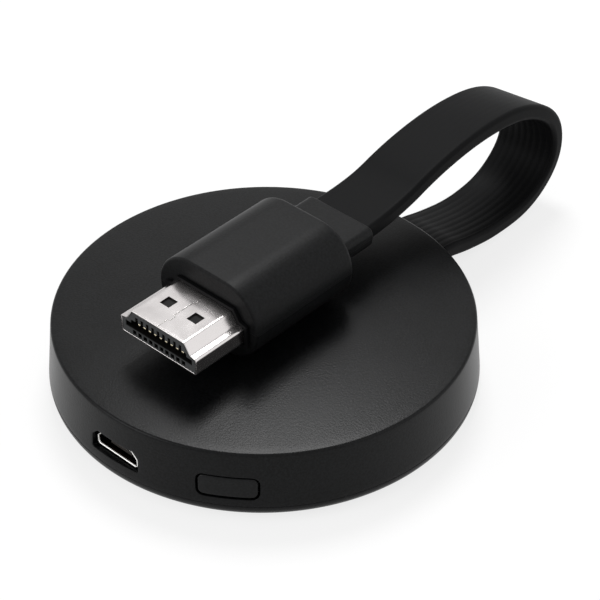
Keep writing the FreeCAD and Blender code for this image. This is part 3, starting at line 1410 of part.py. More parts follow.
def make_shield_can():
    """Sheet-metal can crimped over the rear of the shell and round the wires."""
    body = new_body("plug_shield_can")
    inner_width, inner_height = "(shell_width + 2 * can_gap)", "(shell_height + 2 * can_gap)"
    section = sketch_on(body, "can_section", "XZ_Plane", lift=f"-{CAN_FRONT}")
    rounded_rectangle(
        section, f"{inner_width} + 2 * can_sheet", f"{inner_height} + 2 * can_sheet", "can_corner"
    )
    pad(body, "can_solid", section, "can_length", against=True)
    hollow = sketch_on(body, "can_hollow_section", "XZ_Plane", lift=f"-{CAN_FRONT}")
    rectangle(hollow, inner_width, inner_height)
    pocket(body, "can_hollow", hollow, "can_length - can_sheet")
    mouth = sketch_on(body, "can_mouth_section", "XZ_Plane", lift=f"-{CAN_FRONT}")
    rectangle(mouth, f"({CORES_WIDTH} + 4 * fit_gap)", "(2 * core_radius + 4 * fit_gap)")
    pocket(body, "can_mouth", mouth, "can_length")
    at_plug(body)
    return node(body, "plug_shield_can")


def make_inner_mould():
    """Hard inner mould: a collar round the shell in front and a block round the can."""
    body = new_body("plug_inner_mould")
    collar = sketch_on(body, "collar_section", "XZ_Plane", lift=f"-{COLLAR_FRONT}")
    plug_outline(collar, "-collar_step")
    pad(body, "collar_solid", collar, "collar_length", against=True)
    core = sketch_on(body, "mould_section", "XZ_Plane", lift=f"-{COLLAR_END}")
    rounded_rectangle(core, "mould_width", "mould_height", "mould_corner")
    pad(body, "mould_solid", core, f"{MOULD_END} - {COLLAR_END}", against=True)
    shell = sketch_on(body, "mould_shell_section", "XZ_Plane", lift=f"-{COLLAR_FRONT}")
    plug_outline(shell, "-mould_gap")
    pocket(body, "mould_shell_hole", shell, f"{CAN_FRONT} - {COLLAR_FRONT}")
    can = sketch_on(body, "mould_can_section", "XZ_Plane", lift=f"-({CAN_FRONT} - mould_gap)")
    grown = "2 * (can_gap + can_sheet + mould_gap)"
    rectangle(can, f"(shell_width + {grown})", f"(shell_height + {grown})")
    pocket(body, "mould_can_hole", can, f"{CAN_END} - {CAN_FRONT} + 2 * mould_gap")
    mouth = sketch_on(body, "mould_mouth_section", "XZ_Plane", lift=f"-{CAN_END}")
    rectangle(mouth, f"({CORES_WIDTH} + 4 * fit_gap)", "(2 * core_radius + 4 * fit_gap)")
    pocket(body, "mould_mouth", mouth, "mould_gap + mould_wall")
    at_plug(body)
    return node(body, "plug_inner_mould")


def make_boot():
    """Soft boot with round sides and a flat sleeve that grips the cable."""
    body = new_body("plug_boot")
    front = "(-shell_bare)"
    section = sketch_on(body, "boot_section", "XZ_Plane", lift=front)
    half, high = "(boot_width / 2 - boot_height / 2)", "(boot_height / 2)"
    outline(
        section,
        ((f"-{half}", f"-{high}"), (half, f"-{high}"), (half, high), (f"-{half}", high)),
        {1: (half, "0", "right"), 3: (f"-{half}", "0", "left")},
    )
    pad(body, "boot_solid", section, "boot_length", against=True)
    front_at, rear_at = amount_of("shell_bare"), amount_of(BOOT_END)
    dress(body, "Chamfer", "boot_front_edge", "boot_front_bevel",
          lambda edge: depth_at(edge, front_at))
    dress(body, "Chamfer", "boot_rear_edge", "boot_rear_bevel",
          lambda edge: depth_at(edge, rear_at))
    sleeve = sketch_on(body, "sleeve_section", "XZ_Plane", lift=f"-({BOOT_END} - sleeve_root)")
    rounded_rectangle(sleeve, "sleeve_width", "sleeve_height", "sleeve_corner")
    pad(body, "sleeve", sleeve, "sleeve_length + sleeve_root", against=True)
    sleeve_at = amount_of(SLEEVE_END)
    dress(body, "Chamfer", "sleeve_edge", "sleeve_bevel",
          lambda edge: depth_at(edge, sleeve_at))

    collar = sketch_on(body, "boot_collar_section", "XZ_Plane", lift=front)
    plug_outline(collar, "-(collar_step + mould_gap)")
    pocket(body, "boot_collar_hole", collar, f"{COLLAR_END} - shell_bare")
    core = sketch_on(body, "boot_core_section", "XZ_Plane", lift=f"-({COLLAR_END} - mould_gap)")
    rounded_rectangle(
        core,
        "mould_width + 2 * mould_gap",
        "mould_height + 2 * mould_gap",
        "(mould_corner + mould_gap)",
    )
    pocket(body, "boot_core_hole", core, f"{MOULD_END} - {COLLAR_END} + 2 * mould_gap")
    channel = sketch_on(body, "boot_channel_section", "XZ_Plane", lift=f"-{MOULD_END}")
    rectangle(
        channel,
        f"({CORES_WIDTH} + 2 * fit_gap)",
        "(2 * (core_radius + fit_gap))",
    )
    pocket(body, "boot_channel", channel, f"{SLEEVE_END} - {MOULD_END}")
    at_plug(body)
    return node(body, "plug_boot")


make_rear_cover()
make_front_cover()
make_main_board()
make_screws()
make_shield_frame()
make_shield_lid()
make_heat_spreader()
make_small_parts()
make_radio_module()
make_antennas()
make_port()
make_button()
make_gland()
make_inner_cores()
make_plug_shell()
make_contact_block()
make_plug_contacts()
make_core_comb()
make_plug_cores()
make_shield_can()
make_inner_mould()
make_boot()
make_flat_cable()
doc.recompute()

failed = [item.Name for item in doc.Objects if {"Invalid", "Error"} & set(item.State)]
if failed:
    raise RuntimeError("objects that failed: " + ", ".join(failed))
for name, thing in NODES.items():
    if thing.Shape.isNull() or not thing.Shape.isValid() or not thing.Shape.Solids:
        raise RuntimeError(name + " has no valid solid")

os.makedirs("parts", exist_ok=True)
for name, thing in NODES.items():
    thing.Shape.exportStep(f"parts/{name}.step")
    print(name, len(thing.Shape.Solids), round(thing.Shape.Volume, 2))
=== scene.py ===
import math

import bmesh
import bpy
import numpy as np
from bpy.props import FloatProperty, FloatVectorProperty, IntProperty, PointerProperty
from mathutils import Matrix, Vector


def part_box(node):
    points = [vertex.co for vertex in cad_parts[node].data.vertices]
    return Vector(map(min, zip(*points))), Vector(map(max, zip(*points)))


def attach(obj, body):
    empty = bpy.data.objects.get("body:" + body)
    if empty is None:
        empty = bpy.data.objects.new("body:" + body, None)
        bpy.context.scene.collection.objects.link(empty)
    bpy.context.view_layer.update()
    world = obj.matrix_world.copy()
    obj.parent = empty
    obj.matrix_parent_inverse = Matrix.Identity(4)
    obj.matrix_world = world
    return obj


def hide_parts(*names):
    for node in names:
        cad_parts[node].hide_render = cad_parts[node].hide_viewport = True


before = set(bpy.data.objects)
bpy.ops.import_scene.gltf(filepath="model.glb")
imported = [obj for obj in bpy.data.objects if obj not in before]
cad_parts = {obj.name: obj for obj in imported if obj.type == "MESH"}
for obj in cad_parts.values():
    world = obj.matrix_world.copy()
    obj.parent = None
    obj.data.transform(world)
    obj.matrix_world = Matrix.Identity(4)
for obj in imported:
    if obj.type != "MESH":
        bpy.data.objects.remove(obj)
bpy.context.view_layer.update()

bl_info = {
    "name": "Wireless Display Dongle",
    "version": (1, 0, 0),
    "blender": (4, 5, 0),
    "location": "3D View > Sidebar > Dongle",
    "description": "Builds the round display dongle, its flat cable and its plug",
    "category": "Object",
}

FULL_TURN = 2 * math.pi
SAME_PLACE = 1e-6

# The cable's route in metres: from the gland's nose round its loop to the plug's sleeve
CABLE_ROUTE = np.array([
    (0.0, 0.0306, 0.0044),
    (0.0, 0.0340, 0.0044),
    (0.0, 0.0386, 0.0030),
    (0.0, 0.0460, 0.0017),
    (0.0, 0.0542, 0.0025),
    (0.0, 0.0599, 0.0078),
    (0.0, 0.0589, 0.0152),
    (0.0, 0.0516, 0.0202),
    (0.0, 0.0418, 0.0215),
    (0.0, 0.0312, 0.0204),
    (0.0, 0.0222, 0.0176),
    (0.0, 0.0156, 0.0176),
])

# How far the cable rolls about its own line: share of its length and degrees
CABLE_ROLL = np.array([
    (0.0, 0.0), (0.1, 0.0), (0.2, 0.9), (0.32, -2.9), (0.45, -4.2), (0.6, -5.2),
    (0.75, -4.3), (0.9, -3.5), (1.0, 0.0),
])

# An upper contact's middle line: distance from the plug's tip and height above its axis
CONTACT_LINE = ((0.0080, 0.00115), (0.0022, 0.00110), (0.00105, 0.00014),
                (0.00056, 0.00008), (0.00056, -0.00020))


def length(name, description, default):
    return FloatProperty(name=name, description=description, default=default, min=0.0,
                         subtype="DISTANCE", unit="LENGTH", precision=5)


def tint(name, description, default):
    return FloatVectorProperty(name=name, description=description, default=default, size=3,
                               min=0.0, max=1.0, subtype="COLOR")


def turn(name, description, degrees):
    return FloatProperty(name=name, description=description, subtype="ANGLE",
                         default=math.radians(degrees))


class HousingSizes(bpy.types.PropertyGroup):
    """Sizes of the round housing"""
    seam_radius: length("Seam radius", "Outer radius at the seam", 0.0298)
    wall_lean: length("Wall lean", "How far the wall leans in by its rim", 0.0008)
    seam_height: length("Seam height", "Height of the seam of the covers", 0.0026)
    seam_line: length("Seam line", "Rounding of each cover at the seam", 0.00011)
    rim_height: length("Rim height", "Height of the top rim", 0.0109)
    rim_round: length("Rim rounding", "Radius of the top rim", 0.00042)
    dome_rise: length("Dome rise", "Rise of the dome above its rim", 0.0009)
    wall: length("Wall", "Thickness of the side wall", 0.0015)
    ceiling: length("Ceiling", "Height of the flat ceiling inside", 0.00995)
    wall_top: length("Wall top", "Height where the straight wall ends", 0.0101)
    side_reach: length("Side reach", "Radius beyond which a face is the side wall's", 0.0270)
    dome_edge: length("Dome edge", "Rim to the dome's first ring", 0.0009)
    frame_low: length("Frame low", "Lower side of the frames round the windows", 0.0034)
    frame_high: length("Frame high", "Upper side of those frames", 0.0078)
    window_edge: length("Window edge", "Rounding of a window's edge", 0.00007)
    slot_gap: length("Slot gap", "Gap between the gland and its slot", 0.0001)
    slot_corner: length("Slot corner", "Corner radius of that slot", 0.0010)
    board_top: length("Board top", "Height of the board's upper side", 0.00775)
    roof_bite: length("Roof bite", "How far ribs and bosses reach into the ceiling", 0.0002)
    rib_inner: length("Rib inside", "Middle of the housing to a rib", 0.0263)
    rib_outer: length("Rib outside", "Middle of the housing to a rib's end", 0.0282)
    rib_thickness: length("Rib thickness", "Thickness of a rib", 0.0008)
    boss_ring: length("Boss ring", "Middle of the housing to a screw boss", 0.0210)
    boss_radius: length("Boss radius", "Radius of a screw boss", 0.0021)
    bore_radius: length("Bore radius", "Radius of its bore", 0.00085)
    bore_depth: length("Bore depth", "Depth of its bore", 0.0026)
    foot_radius: length("Foot radius", "Radius of the flat foot", 0.0210)
    foot_bend: length("Foot bend", "Rounding at the foot's edge", 0.004)
    edge_rise: length("Edge rise", "Rise of the front cover to its side", 0.0008)
    edge_round: length("Edge rounding", "Radius of the front cover's edge", 0.0017)
    floor_wall: length("Front wall", "Thickness of the front cover", 0.0013)
    lip_height: length("Lip height", "Height of the locating lip", 0.0012)
    lip_wall: length("Lip wall", "Thickness of the locating lip", 0.0008)
    lip_gap: length("Lip gap", "Gap between the lip and the wall", 0.0001)
    post_ring: length("Post ring", "Middle of the housing to a post", 0.0155)
    post_radius: length("Post radius", "Radius of a post", 0.0018)
    post_foot: length("Post foot", "Height where a post starts in the floor", 0.0008)
    pin_foot: length("Pin foot", "Height where a pin starts in its post", 0.0010)
    pin_radius: length("Pin radius", "Radius of the pin on a post", 0.00075)
    spreader_low: length("Spreader low", "Lower side of the heat spreader", 0.0032)
    spreader_high: length("Spreader high", "Upper side of the heat spreader", 0.0040)
    steps_around: IntProperty(
        name="Steps around", description="Columns of the wall away from its windows",
        default=150, min=60, max=400,
    )


class PortSizes(bpy.types.PropertyGroup):
    """Sizes of the power port's window and flared lip"""
    shift: length("Shift", "Middle of the port along X", 0.0011)
    level: length("Level", "Height of the port's middle", 0.0055)
    window_width: length("Window width", "Width of its window", 0.0082)
    window_height: length("Window height", "Height of its window", 0.00306)
    width: length("Width", "Width of the port's shell", 0.0075)
    height: length("Height", "Height of the port's shell", 0.0025)
    bevel: length("Bevel", "Bevel of its upper corners", 0.0010)
    corner: length("Corner", "Rounding of the bevel's corners", 0.0003)
    foot: length("Foot", "Rounding of the shell's lower corners", 0.00055)
    sheet: length("Sheet", "Thickness of its sheet", 0.00022)
    mouth: length("Mouth", "Middle of the housing to its mouth", 0.02867)
    lip_reach: length("Lip reach", "How far the lip stands forward", 0.00016)
    flare: length("Flare", "How far the lip opens out", 0.00002)


class ButtonSizes(bpy.types.PropertyGroup):
    """Sizes of the button and its window"""
    angle: turn("Angle", "Direction that the button faces", 304.3)
    level: length("Level", "Height of the button's middle", 0.00545)
    width: length("Width", "Width of the cap", 0.00783)
    height: length("Height", "Height of the cap", 0.00298)
    corner: length("Corner", "Corner radius of the cap", 0.0008)
    edge: length("Edge", "Rounding of the cap's outer edge", 0.00022)
    sunk: length("Sunk", "How far the face lies behind the wall", 0.00003)
    gap: length("Gap", "Gap round the cap", 0.00027)
    flange: length("Flange", "Overhang of the cap's flange", 0.00075)
    flange_face: length("Flange face", "Middle of the housing to the flange", 0.027286)
    flange_back: length("Flange back", "Middle of the housing to its back", 0.026486)
    pusher_tip: length("Pusher tip", "Middle of the housing to the pusher", 0.025886)
    pusher_radius: length("Pusher radius", "Radius of the pusher", 0.0011)


class PlugSizes(bpy.types.PropertyGroup):
    """Sizes of the plug and its boot"""
    tip: length("Tip", "Middle of the housing to the plug's tip", 0.0197)
    level: length("Level", "Height of the plug's axis", 0.0176)
    shell_width: length("Shell width", "Width of the metal shell", 0.0139)
    shell_height: length("Shell height", "Height of the metal shell", 0.00445)
    shell_side: length("Shell side", "Height of its upright sides", 0.00267)
    shell_ledge: length("Ledge", "Width of the ledge above a side", 0.0011)
    shell_ledge_rise: length("Ledge rise", "Rise of that ledge", 0.00025)
    shell_narrow: length("Narrow face", "Width of the narrow face", 0.0098)
    shell_corner: length("Shell corner", "Rounding of the shell's corners", 0.0005)
    shell_wall: length("Sheet", "Thickness of the shell's sheet", 0.0003)
    shell_length: length("Shell length", "Whole length of the shell", 0.0140)
    shell_bare: length("Bare length", "Length in front of the boot", 0.0091)
    latch_spread: length("Latch spread", "Distance between the windows", 0.00494)
    latch_width: length("Latch width", "Width of a latch window", 0.0017)
    latch_length: length("Latch length", "Length of a latch window", 0.0017)
    latch_from_tip: length("Latch from tip", "Tip to a latch window", 0.00365)
    block_recess: length("Block recess", "Tip to the contact block's face", 0.00007)
    block_length: length("Block length", "Length of the contact block", 0.01213)
    block_gap: length("Block gap", "Gap between shell and block", 0.00003)
    slot_width: length("Slot width", "Width of the slot's lower half", 0.0122)
    slot_step: length("Slot step", "Step of its sides at half height", 0.0010)
    slot_top: length("Slot top", "Axis up to the slot's upper side", 0.00055)
    slot_low: length("Slot low", "Axis down to the slot's lower side", 0.00090)
    slot_depth: length("Slot depth", "Depth of the slot", 0.0080)
    pitch: length("Pitch", "Distance between contacts of a row", 0.0010)
    groove_width: length("Groove width", "Width of an upper groove", 0.0005)
    groove_top: length("Groove top", "Axis to the top of a groove", 0.00135)
    hole_width: length("Hole width", "Width of a lower hole", 0.00068)
    hole_low: length("Hole low", "Axis down to a hole's lower side", 0.00174)
    hole_high: length("Hole high", "Axis down to a hole's upper side", 0.00102)
    hole_depth: length("Hole depth", "Depth of a lower hole", 0.0040)
    contact_width: length("Contact width", "Width of a contact", 0.00042)
    contact_sheet: length("Contact sheet", "Thickness of a contact", 0.00020)
    boot_width: length("Boot width", "Width of the boot", 0.0180)
    boot_height: length("Boot height", "Height of the boot", 0.0116)
    boot_length: length("Boot length", "Length of the boot", 0.0189)
    boot_front: length("Front rounding", "Rounding of the front edge", 0.00035)
    boot_rear: length("Rear rounding", "Rounding of the rear edge", 0.0008)
    collar_gap: length("Collar gap", "Gap between shell and boot", 0.00054)
    collar_end: length("Collar end", "Tip to the wide space inside", 0.01165)
    mould_end: length("Mould end", "Tip to that space's far end", 0.02184)
    mould_width: length("Mould width", "Width of that space", 0.01608)
    mould_height: length("Mould height", "Height of that space", 0.00688)
    mould_corner: length("Mould corner", "Corner radius of that space", 0.00104)
    channel_width: length("Channel width", "Width of the channel for the cable", 0.0092)
    channel_height: length("Channel height", "Height of that channel", 0.0014)
    channel_corner: length("Channel corner", "Corner radius of that channel", 0.0003)
    sleeve_width: length("Sleeve width", "Width of the sleeve", 0.0120)
    sleeve_height: length("Sleeve height", "Height of the sleeve", 0.0031)
    sleeve_length: length("Sleeve length", "Length of the sleeve", 0.0073)
    sleeve_corner: length("Sleeve corner", "Corner radius of the sleeve", 0.0010)
    sleeve_root: length("Sleeve root", "Fillet where it leaves the boot", 0.0004)
    sleeve_edge: length("Sleeve edge", "Rounding of its end", 0.00035)


class CableSizes(bpy.types.PropertyGroup):
    """Sizes of the flat cable and its gland"""
    level: length("Level", "Height of the cable at the gland", 0.0044)
    width: length("Width", "Width of the flat cable", 0.0104)
    thickness: length("Thickness", "Thickness of the flat cable", 0.0024)
    corner: length("Corner", "Rounding of its long edges", 0.0007)
    rib_depth: length("Rib depth", "Depth of the fine lengthwise ribs", 0.00004)
    rib_line: length("Rib line", "Half width of the line between ribs", 0.00028)
    rib_count: IntProperty(
        name="Ribs", description="Number of lengthwise ribs", default=8, min=0, max=16
    )
    gland_width: length("Gland width", "Width of the gland's neck", 0.0114)
    gland_height: length("Gland height", "Height of the gland's neck", 0.0036)
    gland_corner: length("Gland corner", "Corner radius of the gland", 0.0009)
    gland_edge: length("Gland edge", "Rounding of the gland's nose", 0.0004)
    gland_nose: length("Gland nose", "Middle of the housing to its nose", 0.0306)
    gland_flange: length("Gland flange", "Thickness of the flange inside", 0.0012)
    mouth_gap: length("Mouth gap", "Bevel of the mouth round the cable", 0.0002)
    mouth_depth: length("Mouth depth", "Depth of that bevel", 0.0003)


class Finishes(bpy.types.PropertyGroup):
    """Colours of the visible pieces"""
    cover: tint("Covers", "Satin plastic of the covers", (0.0030, 0.0032, 0.0035))
    button: tint("Button", "Satin plastic of the button", (0.0045, 0.0047, 0.0050))
    rubber: tint("Boot", "Soft plastic of the boot", (0.0040, 0.0042, 0.0045))
    jacket: tint("Jacket", "Soft plastic of the cable", (0.0042, 0.0043, 0.0046))
    plate: tint("Plate", "Plated sheet of the plug", (0.55, 0.527, 0.522))
    # The port's plated sheet made much lighter for its lip: a painted highlight along the port's
    # mouth.
    lip: tint("Port lip", "Plated sheet of the port's lip", (0.86, 0.85, 0.83))
    contact: tint("Contacts", "Plated contacts", (0.92, 0.80, 0.58))
    block: tint("Contact block", "Plastic between the contacts", (0.058, 0.060, 0.061))


class StageSettings(bpy.types.PropertyGroup):
    """Camera and light"""
    lens: FloatProperty(name="Lens", description="Focal length", default=120.0, min=10.0)
    azimuth: turn("Azimuth", "Direction that the camera looks from", 42.7)
    elevation: turn("Elevation", "How far the camera looks down", 38.70)
    distance: length("Distance", "Camera to the middle", 0.2793)
    aim_right: length("Aim right", "Shift of the camera to its right", 0.0049)
    aim_up: length("Aim up", "Shift of the camera upwards", 0.0098)
    world: FloatProperty(name="Surround", description="Light from all round", default=0.42)
    glow: FloatProperty(name="Glow", description="Power of the lamp behind", default=0.66)


class DongleSettings(bpy.types.PropertyGroup):
    """Everything that can be set on the dongle"""
    housing: PointerProperty(type=HousingSizes, name="Housing", description="Housing")
    port: PointerProperty(type=PortSizes, name="Port", description="Port")
    button: PointerProperty(type=ButtonSizes, name="Button", description="Button")
    plug: PointerProperty(type=PlugSizes, name="Plug", description="Plug")
    cable: PointerProperty(type=CableSizes, name="Cable", description="Cable")
    finishes: PointerProperty(type=Finishes, name="Finishes", description="Finishes")
    stage: PointerProperty(type=StageSettings, name="Stage", description="Stage")


def settings():
    return bpy.context.scene.display_dongle


# Outlines and grids


def unit(vectors):
    return vectors / np.linalg.norm(vectors, axis=-1, keepdims=True)


def direction_of(points):
    return np.arctan2(points[..., 1], points[..., 0])


def axes_of(angle):
    """Unit vectors outwards and to the anticlockwise side, at an angle in the floor."""
    out = np.array([math.cos(angle), math.sin(angle)])
    return out, np.array([-out[1], out[0]])


def round_about(count, start=0.0):
    return np.linspace(start, start + FULL_TURN, count, endpoint=False)


def quarter(count, first=0.0):
    """Sine, and one less the cosine, of evenly spaced angles up to a right angle."""
    angles = np.linspace(first, 1.0, count) * math.pi / 2
    return zip(np.sin(angles), 1.0 - np.cos(angles))


def steps_between(marks, counts):
    """The marks, with the stretch after each cut into its count of equal steps."""
    stretches = [np.linspace(first, last, count + 1)[:-1]
                 for first, last, count in zip(marks, marks[1:], counts)]
    return np.append(np.concatenate(stretches), marks[-1])


def run_along(points):
    """Distance to each point of a line along that line."""
    return np.append(0.0, np.cumsum(np.linalg.norm(np.diff(points, axis=0), axis=1)))


def rounded(corners, radii, steps=6, closed=True):
    """Straight sides whose corners are rounded. At a corner the centre of the arc lies on
    the bisector at radius / sin(half the corner's angle), and the arc's points are turned
    evenly from the end of one side to the start of the next."""
    middle = np.asarray(corners, float)
    ends = middle[:1], middle[-1:]
    before, after = np.roll(middle, 1, 0), np.roll(middle, -1, 0)
    if not closed:
        before, middle, after = before[1:-1], middle[1:-1], after[1:-1]
    radii = np.broadcast_to(np.asarray(radii, float), len(middle))
    back, ahead = unit(before - middle), unit(after - middle)
    half = 0.5 * np.arccos(np.clip((back * ahead).sum(1), -1.0, 1.0))
    centre = middle + unit(back + ahead) * (radii / np.sin(half))[:, None]
    first = middle + back * (radii / np.tan(half))[:, None] - centre
    last = middle + ahead * (radii / np.tan(half))[:, None] - centre
    sweep = math.pi - 2.0 * half
    share = np.linspace(0.0, 1.0, steps)
    lead = np.sin(np.outer(sweep, 1.0 - share))[..., None] * first[:, None, :]
    trail = np.sin(np.outer(sweep, share))[..., None] * last[:, None, :]
    arcs = centre[:, None, :] + (lead + trail) / np.sin(sweep)[:, None, None]
    arcs = arcs.reshape(-1, 2)
    return arcs if closed else np.vstack([ends[0], arcs, ends[1]])


def dense(outline, count=1200):
    """A closed outline cut into equal steps."""
    ring = np.vstack([outline, outline[:1]])
    run = run_along(ring)
    marks = np.linspace(0.0, run[-1], count, endpoint=False)
    return np.stack([np.interp(marks, run, ring[:, 0]), np.interp(marks, run, ring[:, 1])],
                    axis=1)


def drawn_in(outline, inset):
    """Each point of a closed outline that runs anticlockwise, moved inward along the
    normal of the line between its neighbours."""
    along = unit(np.roll(outline, -1, 0) - np.roll(outline, 1, 0))
    return outline + inset * np.stack([-along[:, 1], along[:, 0]], axis=1)


def rounded_box(width, height, corner, steps=8):
    """A rectangle with round corners about the middle, anticlockwise."""
    right, high = width / 2, height / 2
    return rounded([(right, -high), (right, high), (-right, high), (-right, -high)],
                   corner, steps)


def along_rays(outline, angles):
    """Points of a closed outline in given directions from its middle, each between the
    two points of the outline whose directions lie on either side of it."""
    own = direction_of(outline)
    order = np.argsort(own)
    own, points = own[order], outline[order]
    own = np.concatenate([own[-1:] - FULL_TURN, own, own[:1] + FULL_TURN])
    points = np.concatenate([points[-1:], points, points[:1]])
    angles = (np.asarray(angles) + math.pi) % FULL_TURN - math.pi
    return np.stack([np.interp(angles, own, points[:, 0]),
                     np.interp(angles, own, points[:, 1])], axis=1)


def upright(flat, distance, level, shift=0.0):
    """Points (across, up) of a section that stands square to Y at a distance."""
    return np.column_stack([flat[:, 0] + shift, np.full(len(flat), distance),
                            flat[:, 1] + level])


def patch(points, closed=False, keep=None):
    """A grid of points (rows, columns, 3) as points and quads, less the cells that a mask
    drops. A closed grid joins its last column to its first."""
    rows, columns = points.shape[:2]
    row = np.arange(rows - 1)[:, None] * columns
    left = np.arange(columns if closed else columns - 1)
    right = (left + 1) % columns
    quads = np.stack([row + left, row + right, row + columns + right, row + columns + left],
                     axis=-1).reshape(-1, 4)
    if keep is not None:
        quads = quads[keep.reshape(-1)]
    return points.reshape(-1, 3), quads


def loft(rings, ends=True):
    """Rings of equally many points joined one to the next. With ends, the first and last
    ring are closed to their own middles."""
    rings = np.asarray(rings)
    if ends:
        first = np.broadcast_to(rings[0].mean(0), rings[0].shape)
        last = np.broadcast_to(rings[-1].mean(0), rings[-1].shape)
        rings = np.concatenate([first[None], rings, last[None]])
    return patch(rings, closed=True)


def turned_profile(profile, angles, centre=(0.0, 0.0)):
    """A profile of (radius, height) turned about an upright axis: radius times the cosine
    and sine of each angle, at its own height."""
    radius, height = np.asarray(profile)[:, :, None].transpose(1, 0, 2)
    return np.stack([
        centre[0] + radius * np.cos(angles),
        centre[1] + radius * np.sin(angles),
        np.broadcast_to(height, (len(profile), len(angles))),
    ], axis=-1)


def post(profile, radius, degrees, count=28):
    """A turned post whose axis stands at a radius and angle from the housing's middle."""
    centre = radius * axes_of(math.radians(degrees))[0]
    return patch(turned_profile(profile, round_about(count), centre), closed=True)


def make_piece(node, patches, material, body="housing", replaces=True, crease=32.0):
    """One mesh from patches of points and quads: doubles merged, faces pointing outwards,
    smooth but for edges sharper than the crease. It stands for the node of its name."""
    starts = np.cumsum([0] + [len(points) for points, quads in patches[:-1]])
    points = np.concatenate([points for points, quads in patches])
    quads = np.concatenate([quads + start for (own, quads), start in zip(patches, starts)])
    mesh = bpy.data.meshes.new(node + "_finish")
    mesh.from_pydata(points.tolist(), [], quads.tolist())
    shape = bmesh.new()
    shape.from_mesh(mesh)
    bmesh.ops.remove_doubles(shape, verts=shape.verts, dist=2e-6)
    bmesh.ops.dissolve_degenerate(shape, edges=shape.edges, dist=1e-7)
    bmesh.ops.recalc_face_normals(shape, faces=shape.faces)
    shape.to_mesh(mesh)
    shape.free()
    mesh.shade_smooth()
    mesh.set_sharp_from_angle(angle=math.radians(crease))
    mesh.materials.append(material)
    piece = bpy.data.objects.new(node + "_finish", mesh)
    bpy.context.scene.collection.objects.link(piece)
    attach(piece, body)
    if replaces:
        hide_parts(node)
    return piece


# Materials


def put(tree, kind, inputs=(), **settings_of):
    """A node with its settings, its inputs joined or set by index or name."""
    made = tree.nodes.new(kind)
    for key, value in settings_of.items():
        setattr(made, key, value)
    for key, value in dict(inputs).items():
        if isinstance(value, bpy.types.NodeSocket):
            tree.links.new(value, made.inputs[key])
        else:
            made.inputs[key].default_value = value
    return made


def maths(tree, operation, *values, clamp=False):
    return put(tree, "ShaderNodeMath", enumerate(values), operation=operation,
               use_clamp=clamp).outputs[0]


def noise(tree, place, scale, detail, roughness=0.5):
    return put(tree, "ShaderNodeTexNoise",
               {"Vector": place, "Scale": scale, "Detail": detail,
                "Roughness": roughness}).outputs["Fac"]


def mixed(tree, mask, plain, other):
    """Two colours mixed by a mask."""
    return put(tree, "ShaderNodeMix", {0: mask, 6: plain, 7: other},
               data_type="RGBA").outputs[2]


def grain_group(name, extras, fill):
    """A shader group that turns a place, a fineness and a roughness into a height, a
    roughness and a shade. It is made once, and fill makes its nodes."""
    if name in bpy.data.node_groups:
        return bpy.data.node_groups[name]
    group = bpy.data.node_groups.new(name, "ShaderNodeTree")
    group.interface.new_socket(name="Place", in_out="INPUT", socket_type="NodeSocketVector")
    for label in ("Fineness", "Roughness", *extras):
        group.interface.new_socket(name=label, in_out="INPUT", socket_type="NodeSocketFloat")
    for label in ("Height", "Roughness", "Shade"):
        group.interface.new_socket(name=label, in_out="OUTPUT", socket_type="NodeSocketFloat")
    source = group.nodes.new("NodeGroupInput").outputs
    target = group.nodes.new("NodeGroupOutput").inputs
    for socket, value in zip(target, fill(group, source)):
        group.links.new(value, socket)
    return group


def moulded_grain(group, source):
    """Grain of moulded plastic: two octaves of fine noise for its height, and a slow
    noise that makes it a little lighter and darker, and duller and shinier."""
    fine = noise(group, source["Place"], source["Fineness"], 2.0, 0.55)
    slow = noise(group, source["Place"], 160.0, 3.0)
    even = maths(group, "MULTIPLY_ADD", maths(group, "SUBTRACT", slow, 0.5), 0.4, 0.5)
    shade = maths(group, "MULTIPLY_ADD", maths(group, "SUBTRACT", fine, 0.5),
                  source["Speckle"], even, clamp=True)
    sheen = put(group, "ShaderNodeMapRange", {"Value": slow, "To Min": -0.03, "To Max": 0.03})
    return fine, maths(group, "ADD", sheen.outputs["Result"], source["Roughness"]), shade


def drawn_metal(group, source):
    """Marks of drawn and plated sheet: noise stretched along the length gives fine lines,
    and a slow noise gives cloudy places in the plating."""
    stretched = put(group, "ShaderNodeMapping",
                    {"Vector": source["Place"], "Scale": (1.0, 0.06, 1.0)})
    lines = noise(group, stretched.outputs[0], source["Fineness"], 3.0)
    cloud = noise(group, source["Place"], 420.0, 4.0)
    rough = maths(group, "MULTIPLY_ADD", maths(group, "SUBTRACT", cloud, 0.5),
                  source["Cloud"], source["Roughness"])
    return lines, rough, cloud


def scaled(colour, factor):
    return tuple(min(1.0, part * factor) for part in colour)


def new_shader(name, **inputs):
    """A new material with its Principled shader. What is the same all over the surface is
    set on the shader itself."""
    material = bpy.data.materials.new(name)
    material.use_nodes = True
    shader = material.node_tree.nodes["Principled BSDF"]
    for key, value in inputs.items():
        shader.inputs[key.replace("_", " ")].default_value = value
    return material, material.node_tree, shader.inputs


def add_bump(tree, shader, height, strength, distance, invert=False):
    """A bump on top of the one that the shader may have."""
    inputs = {"Height": height, "Strength": strength, "Distance": distance}
    if shader["Normal"].links:
        inputs["Normal"] = shader["Normal"].links[0].from_socket
    bump = put(tree, "ShaderNodeBump", inputs, invert=invert)
    tree.links.new(bump.outputs["Normal"], shader["Normal"])


def grained(name, group, values, colour, contrast, strength, depth, **inputs):
    """A material whose colour, roughness and bump come from a grain group."""
    material, tree, shader = new_shader(name, Roughness=values["Roughness"], **inputs)
    place = put(tree, "ShaderNodeTexCoord").outputs["Object"]
    grain = put(tree, "ShaderNodeGroup", {"Place": place, **values}, node_tree=group).outputs
    shades = [(*scaled(colour, factor), 1.0) for factor in (1.0 - contrast, 1.0 + contrast)]
    tree.links.new(mixed(tree, grain["Shade"], *shades), shader["Base Color"])
    tree.links.new(grain["Roughness"], shader["Roughness"])
    add_bump(tree, shader, grain["Height"], strength, depth)
    return material


